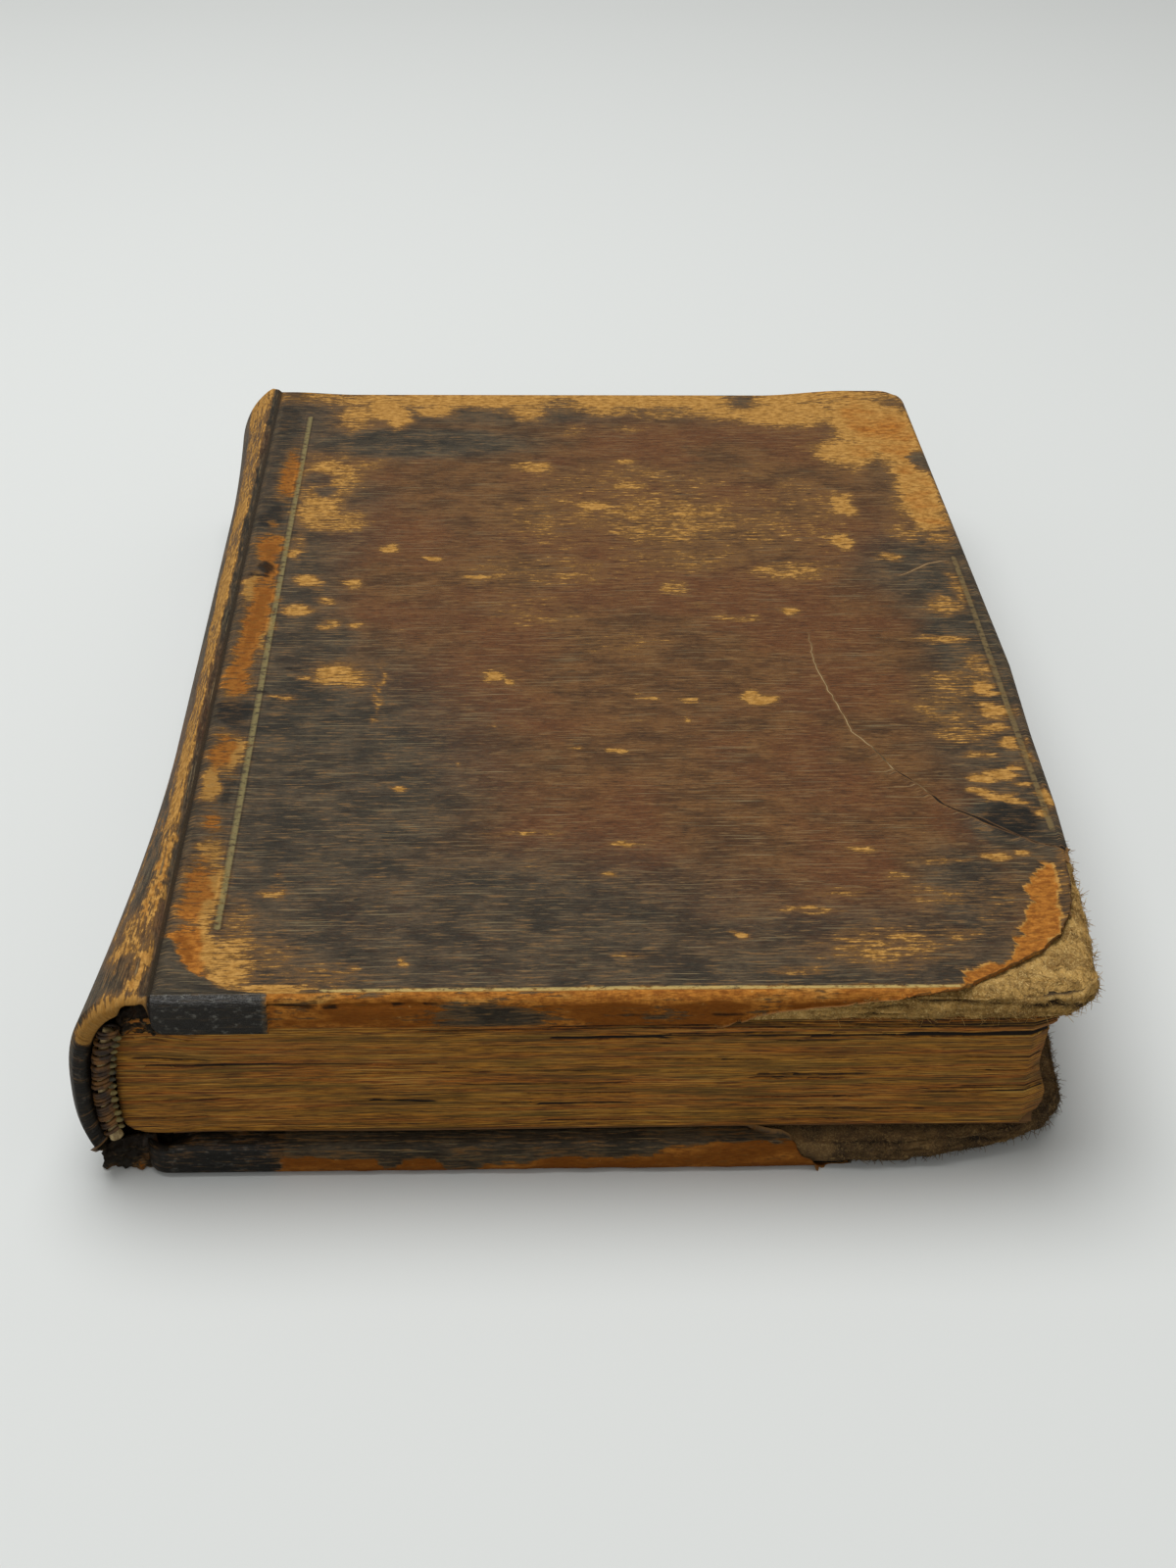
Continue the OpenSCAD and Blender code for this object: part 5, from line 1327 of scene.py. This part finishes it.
flat = (v > 0) & (np.abs(v - HALF_LEN) < HALF_LEN - UPPER_R + 0.01) & (u < COVER_W - UPPER_R + 0.01)
points, faces, u, v, left = torn(points, faces, u, v, front_left, by_u, by_v)
rub, raw, black, grime_and_shadow = front_wear(u, v)
on_back = u < -0.4
for value, other in zip((rub, raw, black, grime_and_shadow), spine_wear(u, v, back_len)):
    value[on_back] = other[on_back]
# The valley at the front hinge is darkened on the back as painted shade
grime_and_shadow[on_back & (u > -1.4)] = 0.42
seen = u - drawn_in(u, v, FRAYED["front"]["worn"])
away, width = crack_facts(seen, v)
width = np.where(u > 80, width, 0)
glaze = ease(-v, -0.6, 0.2) * ease(TURN_IN_U - u, 0, 0.1) * ease(u, -1.6, -1.2)
glaze = np.maximum(glaze, 0.6 * ease(1.0 - v, 0, 1.2) * ease(-u - CREST - back_len * 0.33, 0, 0.5))

# Relief: lost skin lies lower, the crack's lower side has lifted, and an unbroken turned edge stands proud
flaked = rub + 0.35 * noise(u * 0.75, v * 1.25, 31, 3)
sunk = 0.2 * ease(flaked, 0.42, 0.6) * (0.4 + 0.6 * ease(raw, 0.3, 0.9))
sunk = sunk + cover_height(u, v) * (u > -1.2) * ease(v, 0.5, 3) * ease(2 * HALF_LEN - v, 0.5, 3)
lifted = 0.4 * ease(0.8 - np.abs(away + 0.4), 0, 0.8) * (width > 0.12)
lifted = lifted + 0.12 * ease(0.7 - left, 0, 0.7) * (u > 90)
points[:, 2] += np.where(flat & (u > -1.2), lifted - sunk, 0)
sag = head_sag(points[:, 0], points[:, 1])
points[:, 2] -= np.where(u > -0.4, sag * np.clip((points[:, 2] - BOOK_T + INNER_T) / INNER_T, 0, 1), 0)
on_side = (v < 0) & (v > -9) & (u > -1.2)
turn_in = on_side & (u < TURN_IN_U)
fold = ease(-v, 0.3, 1.2) * turn_in
points[:, 1] -= fold * 0.28
points[:, 2] -= fold * 0.65 * ease(-v, 3.0, 4.6) * ease(u, -1, 1.5)
seam = ridge(-v - 1.9, 0.35) * ease(36 - u, 0, 3)
dents = 0.22 * noise(u / 4.5, v / 1.6, 34, 3) - 0.35 * seam
points[:, 1] -= np.where(on_side & (u > TURN_IN_U), dents, 0)
points = worn_plan(points, FRAYED["front"]["worn"])
# On the back the grain runs lengthwise
lengthwise = np.column_stack([v + 700, u, u * 0])
values = {
    "spot": np.where(on_back[:, None], lengthwise, np.column_stack([u, v, u * 0])),
    "wear": np.column_stack([rub, raw, black]),
    "crack": np.column_stack([away, width, glaze]),
    "rules": ruled_lines(seen, v),
    "grime_and_shadow": grime_and_shadow,
}
front = piece_from("front_and_back_leather", *with_rim(points, faces[:, ::-1], values, 0.45, 15))
paint(front, calf)
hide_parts("front_leather", "spine_leather")
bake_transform(front)

# The back cover's leather bends at the back hinge, where a strip of it still joins the back of the book
grid, v_rows, strip, *fore_edge = cover_sheet()
strip_x = np.array([-2.6, -2.5, -2.2, -1.7, -1.1, -0.5])
low_strip = np.repeat(grid[:, :1], len(strip_x), 1)
low_strip[..., 0] = strip_x
# At the tail the turned leather ends in a rounded fold left of the hinge; above that a strip joins the back
folded = ease(3.0 - v_rows, 0, 2.0)[:, None]
back_by = 2.6 * (1 - np.sqrt(1 - (strip_x / 2.62) ** 2))
low_strip[..., 1] += folded * back_by
flat_z = np.minimum(low_strip[..., 2], 0.5)
flat_z = flat_z + np.interp(strip_x, [-2.6, -CREST, -1.1, 0], [0.5, 0.1, 0.3, 0.0])
low_strip[..., 2] = folded * low_strip[..., 2] + (1 - folded) * flat_z
points, faces, u, v, by_u, by_v = sheet_with(low_strip, strip_x, grid, v_rows, strip, *fore_edge)


def back_left(u, v):
    """How far inside the leather that is left on the back cover a spot lies."""
    tear_u, tear_v = np.array([(70, -9), (77, -5), (81, -1)] + FRAYED["back"]["tear"] + [(140, 37)]).T
    fore_end = np.interp(v, tear_v, tear_u)
    joint = np.where(u < -0.1, np.minimum(np.maximum(np.minimum(v - 4.6, u + 1.9), 2.2 - v), 181.4 - v), 9.0)
    return np.minimum(fore_end - u + 2.0 * noise(u / 3, v / 2, 47, 2), joint)


points, faces, u, v, left = torn(points, faces, u, v, back_left, by_u, by_v)
down = -v
side = ease(down, -0.5, 0.6)
# The tail edge: black as far as 14 mm, then rubbed raw along the foot, under a dark ragged band
streaks = noise(u / 7, down / 1.6, 44, 3)
foot = np.interp(u, [13, 19, 25.2, 26.2, 27.9, 28.9, 33, 34, 37.5, 39, 46, 59, 61, 80],
    [3.6, 3.6, 3.3, 1.7, 1.7, 3.4, 3.4, 1.2, 1.3, 2.2, 3.1, 3.5, 5.2, 5.4])
foot = foot + 0.9 * noise(u / 2.2, down / 2, 45, 3)
low_rub = side * ease(u + 0.7 * noise(down / 1.2, 1.0, 49), 12.9, 13.8)
low_rub = low_rub * (0.08 + 0.95 * ease(foot - down, -0.4, 0.5))
low_rub = low_rub + side * 0.25 * streaks
far = ease(v - 2 * HALF_LEN, -0.4, 0.4) + ease(u - COVER_W, -0.4, 0.4)
low_rub = np.maximum(low_rub, np.minimum(far, 1) * (0.55 + 0.5 * noise(u / 3 + v / 8, v / 9, 46, 2)))
face_rub = dabs(u, v, [(8, 93, 5, 80, 0.3), (112, 93, 5, 70, 0.6), (60, 182, 50, 4, 0.6)])
low_rub = np.maximum(low_rub, (1 - side) * face_rub)
crumpled = 0.25 * noise(u / 3.4, v / 1.5, 50, 3) * side * ease(u, 18, 26) * ease(78 - u, 0, 6)
points[:, 1] = np.clip(points[:, 1], -HALF_LEN - 0.1, HALF_LEN + 0.1) - crumpled
points = worn_plan(points, FRAYED["back"]["worn"])
lifted = foot_lift(points[:, 0], points[:, 1])
points[:, 2] += lifted * np.clip(1 - points[:, 2] / (LEATHER_T + BOARD_T), 0, 1)
values = {
    "spot": np.column_stack([u + 300, v, np.zeros_like(u)]),
    "wear": np.column_stack([low_rub, side * (1.25 + 0.3 * streaks), np.where(u < 14.3, 1.35, 0.9)]),
    "crack": np.column_stack([np.ones_like(u), np.zeros_like(u), 0.7 * side * ease(15 - u, 0, 3)]),
    "rules": np.full((len(u), 3), 9.0),
    # The last value darkens the strip at the back hinge, the fold beside it and the tail edge low down:
    # painted shade
    "grime_and_shadow": np.maximum.reduce([0.8 * (u < -0.2) * (v > 1), 0.9 * (u < -2.3), 0.3 * ease(down, 3.6, 5.2),
        0.9 * ridge(u + 1.2 + 0.3 * noise(down, 3, 51), 0.16) * (v < 1)]),
}
points, faces, values = with_rim(points, faces, values, 0.7, 16)
points = np.maximum(points, (-99, -HALF_LEN - 0.2, 0))
back = piece_from("back_cover_leather", points, faces, values)
paint(back, calf)
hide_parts("back_leather")
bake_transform(back)

# Scraps of torn skin lie crumpled in both joints at the tail: under the front one beside the cap, and
# between the back's torn end and the lower cover


def scrap(name, left, right, low, high, depth, bright, seed):
    """A crumpled sheet across a joint, painted darker towards the inside of the book as shade."""
    steps_x, steps_z = np.meshgrid(np.linspace(0, 1, 60), np.linspace(0, 1, 26))
    x = left + (right - left) * steps_x + 0.3 * noise(steps_z * 5, steps_x * 4, seed, 2)
    foot = low + 0.3 * np.abs(noise(steps_x * 8, 2.0, seed + 1, 2))
    top = high + 0.5 * noise(steps_x * 6, 1.0, seed + 2, 2) - 1.4 * (1 - steps_x) ** 2
    z = foot + (top - foot) * steps_z
    y = depth + 1.2 * steps_z + 0.8 * noise(steps_x * 7, steps_z * 3.2, seed + 3, 3)
    u, v = (steps_x * 9 + 10 * seed).ravel(), (steps_z * 4).ravel()
    raw_share = noise(steps_x * 5, steps_z * 2.4, seed + 4, 3).ravel() + 0.5 * (steps_x.ravel() - 0.6)
    dirt_and_shadow = 0.35 + 0.75 * steps_z.ravel() ** 1.5 + 0.5 * noise(u * 0.9, v * 1.5, seed + 5, 2)
    values = {
        "spot": np.column_stack([u, v, v * 0]),
        "wear": np.column_stack([bright + 0.8 * raw_share, 0.9 + 0.6 * raw_share, np.full_like(u, 1.2)]),
        "crack": np.column_stack([u * 0 + 1, u * 0, u * 0]),
        "rules": np.full((len(u), 3), 9.0),
        "grime_and_shadow": np.clip(dirt_and_shadow, 0, 1),
    }
    points = np.stack([x, y, z], -1).reshape(-1, 3)
    made = piece_from(name, *with_rim(points, grid_faces(*x.shape), values, 0.4, seed))
    paint(made, calf)
    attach(made, "text_block")


scrap("torn_back_joint", -8.3, -1.6, 0.2, 4.5, -91.4, 0.15, 52)
scrap("torn_front_joint", -4.4, 0.6, 21.2, 25.0, -91.2, 0.34, 62)

# Table, light and camera. The book lies on a pale matt sheet in soft daylight, with a large window above it.
# The camera stands where the photograph was taken from: low over the tail edge, near the middle.


def stage_sheet():
    made, tree = material("pale_table")
    rays = add(tree, "LightPath", {}, {})
    seen = rays.outputs["Is Camera Ray"]
    shade = add(tree, "Mix", MIX, {0: seen, 6: colour("#b4b3ae"), 7: colour("#cdd0cf")})
    surface(tree, shade, None, Roughness=0.9)
    return made


FLOOR = 3000.0
corners = [(-FLOOR, -FLOOR, 0), (FLOOR, -FLOOR, 0), (FLOOR, FLOOR, 0), (-FLOOR, FLOOR, 0)]
floor = piece_from("table", corners, [(0, 1, 2, 3)])
paint(floor, stage_sheet())

world = bpy.data.worlds.new("daylight")
bpy.context.scene.world = world
world.use_nodes = True
sky = world.node_tree.nodes["Background"]
sky.inputs["Color"].default_value = colour("#f6f4ef")
sky.inputs["Strength"].default_value = 0.34


def placed(axes, place):
    """Matrix of an object from its three axes and its place in millimetres."""
    made = np.eye(4)
    made[:3, :3] = np.column_stack(axes)
    made[:3, 3] = place * MM
    return Matrix(made.tolist())


def window(name, place, aim, size, power):
    """A large soft lamp, turned to a point. Places are in millimetres."""
    lamp = bpy.data.lights.new(name, "AREA")
    lamp.shape = "DISK"
    lamp.size = size * MM
    lamp.energy = power
    made = bpy.data.objects.new(name, lamp)
    bpy.context.scene.collection.objects.link(made)
    place, aim = np.array(place, float), np.array(aim, float)
    way = (place - aim) / np.linalg.norm(place - aim)
    across = np.cross((0, 1, 0.001), way)
    across /= np.linalg.norm(across)
    made.matrix_world = placed([across, np.cross(way, across), way], place)


window("window_above", (-150, 150, 900), (0, 0, 10), 900, 9.0)
window("window_front", (-200, -900, 500), (0, 0, 10), 600, 1.4)

PHOTO_H = 1600
FOCAL_PX = 2219
SENSOR = 36.0
EYE = np.array([41.32 + HINGE_X, -201.09 - HALF_LEN, 184.86])
PITCH, YAW, ROLL = 0.5659, 0.0457, -0.0194
forward = np.array([math.sin(YAW) * math.cos(PITCH), math.cos(YAW) * math.cos(PITCH), -math.sin(PITCH)])
level = np.array([math.cos(YAW), -math.sin(YAW), 0])
down = np.cross(forward, level)
right = level * math.cos(ROLL) + down * math.sin(ROLL)
down = down * math.cos(ROLL) - level * math.sin(ROLL)
lens = bpy.data.cameras.new("photo_camera")
lens.sensor_width = SENSOR
lens.lens = FOCAL_PX * SENSOR / PHOTO_H
lens.clip_start = 0.01
camera = bpy.data.objects.new("photo_camera", lens)
bpy.context.scene.collection.objects.link(camera)
camera.matrix_world = placed([right, -down, -forward], EYE)
bpy.context.scene.camera = camera
bpy.context.scene.view_settings.view_transform = "Standard"
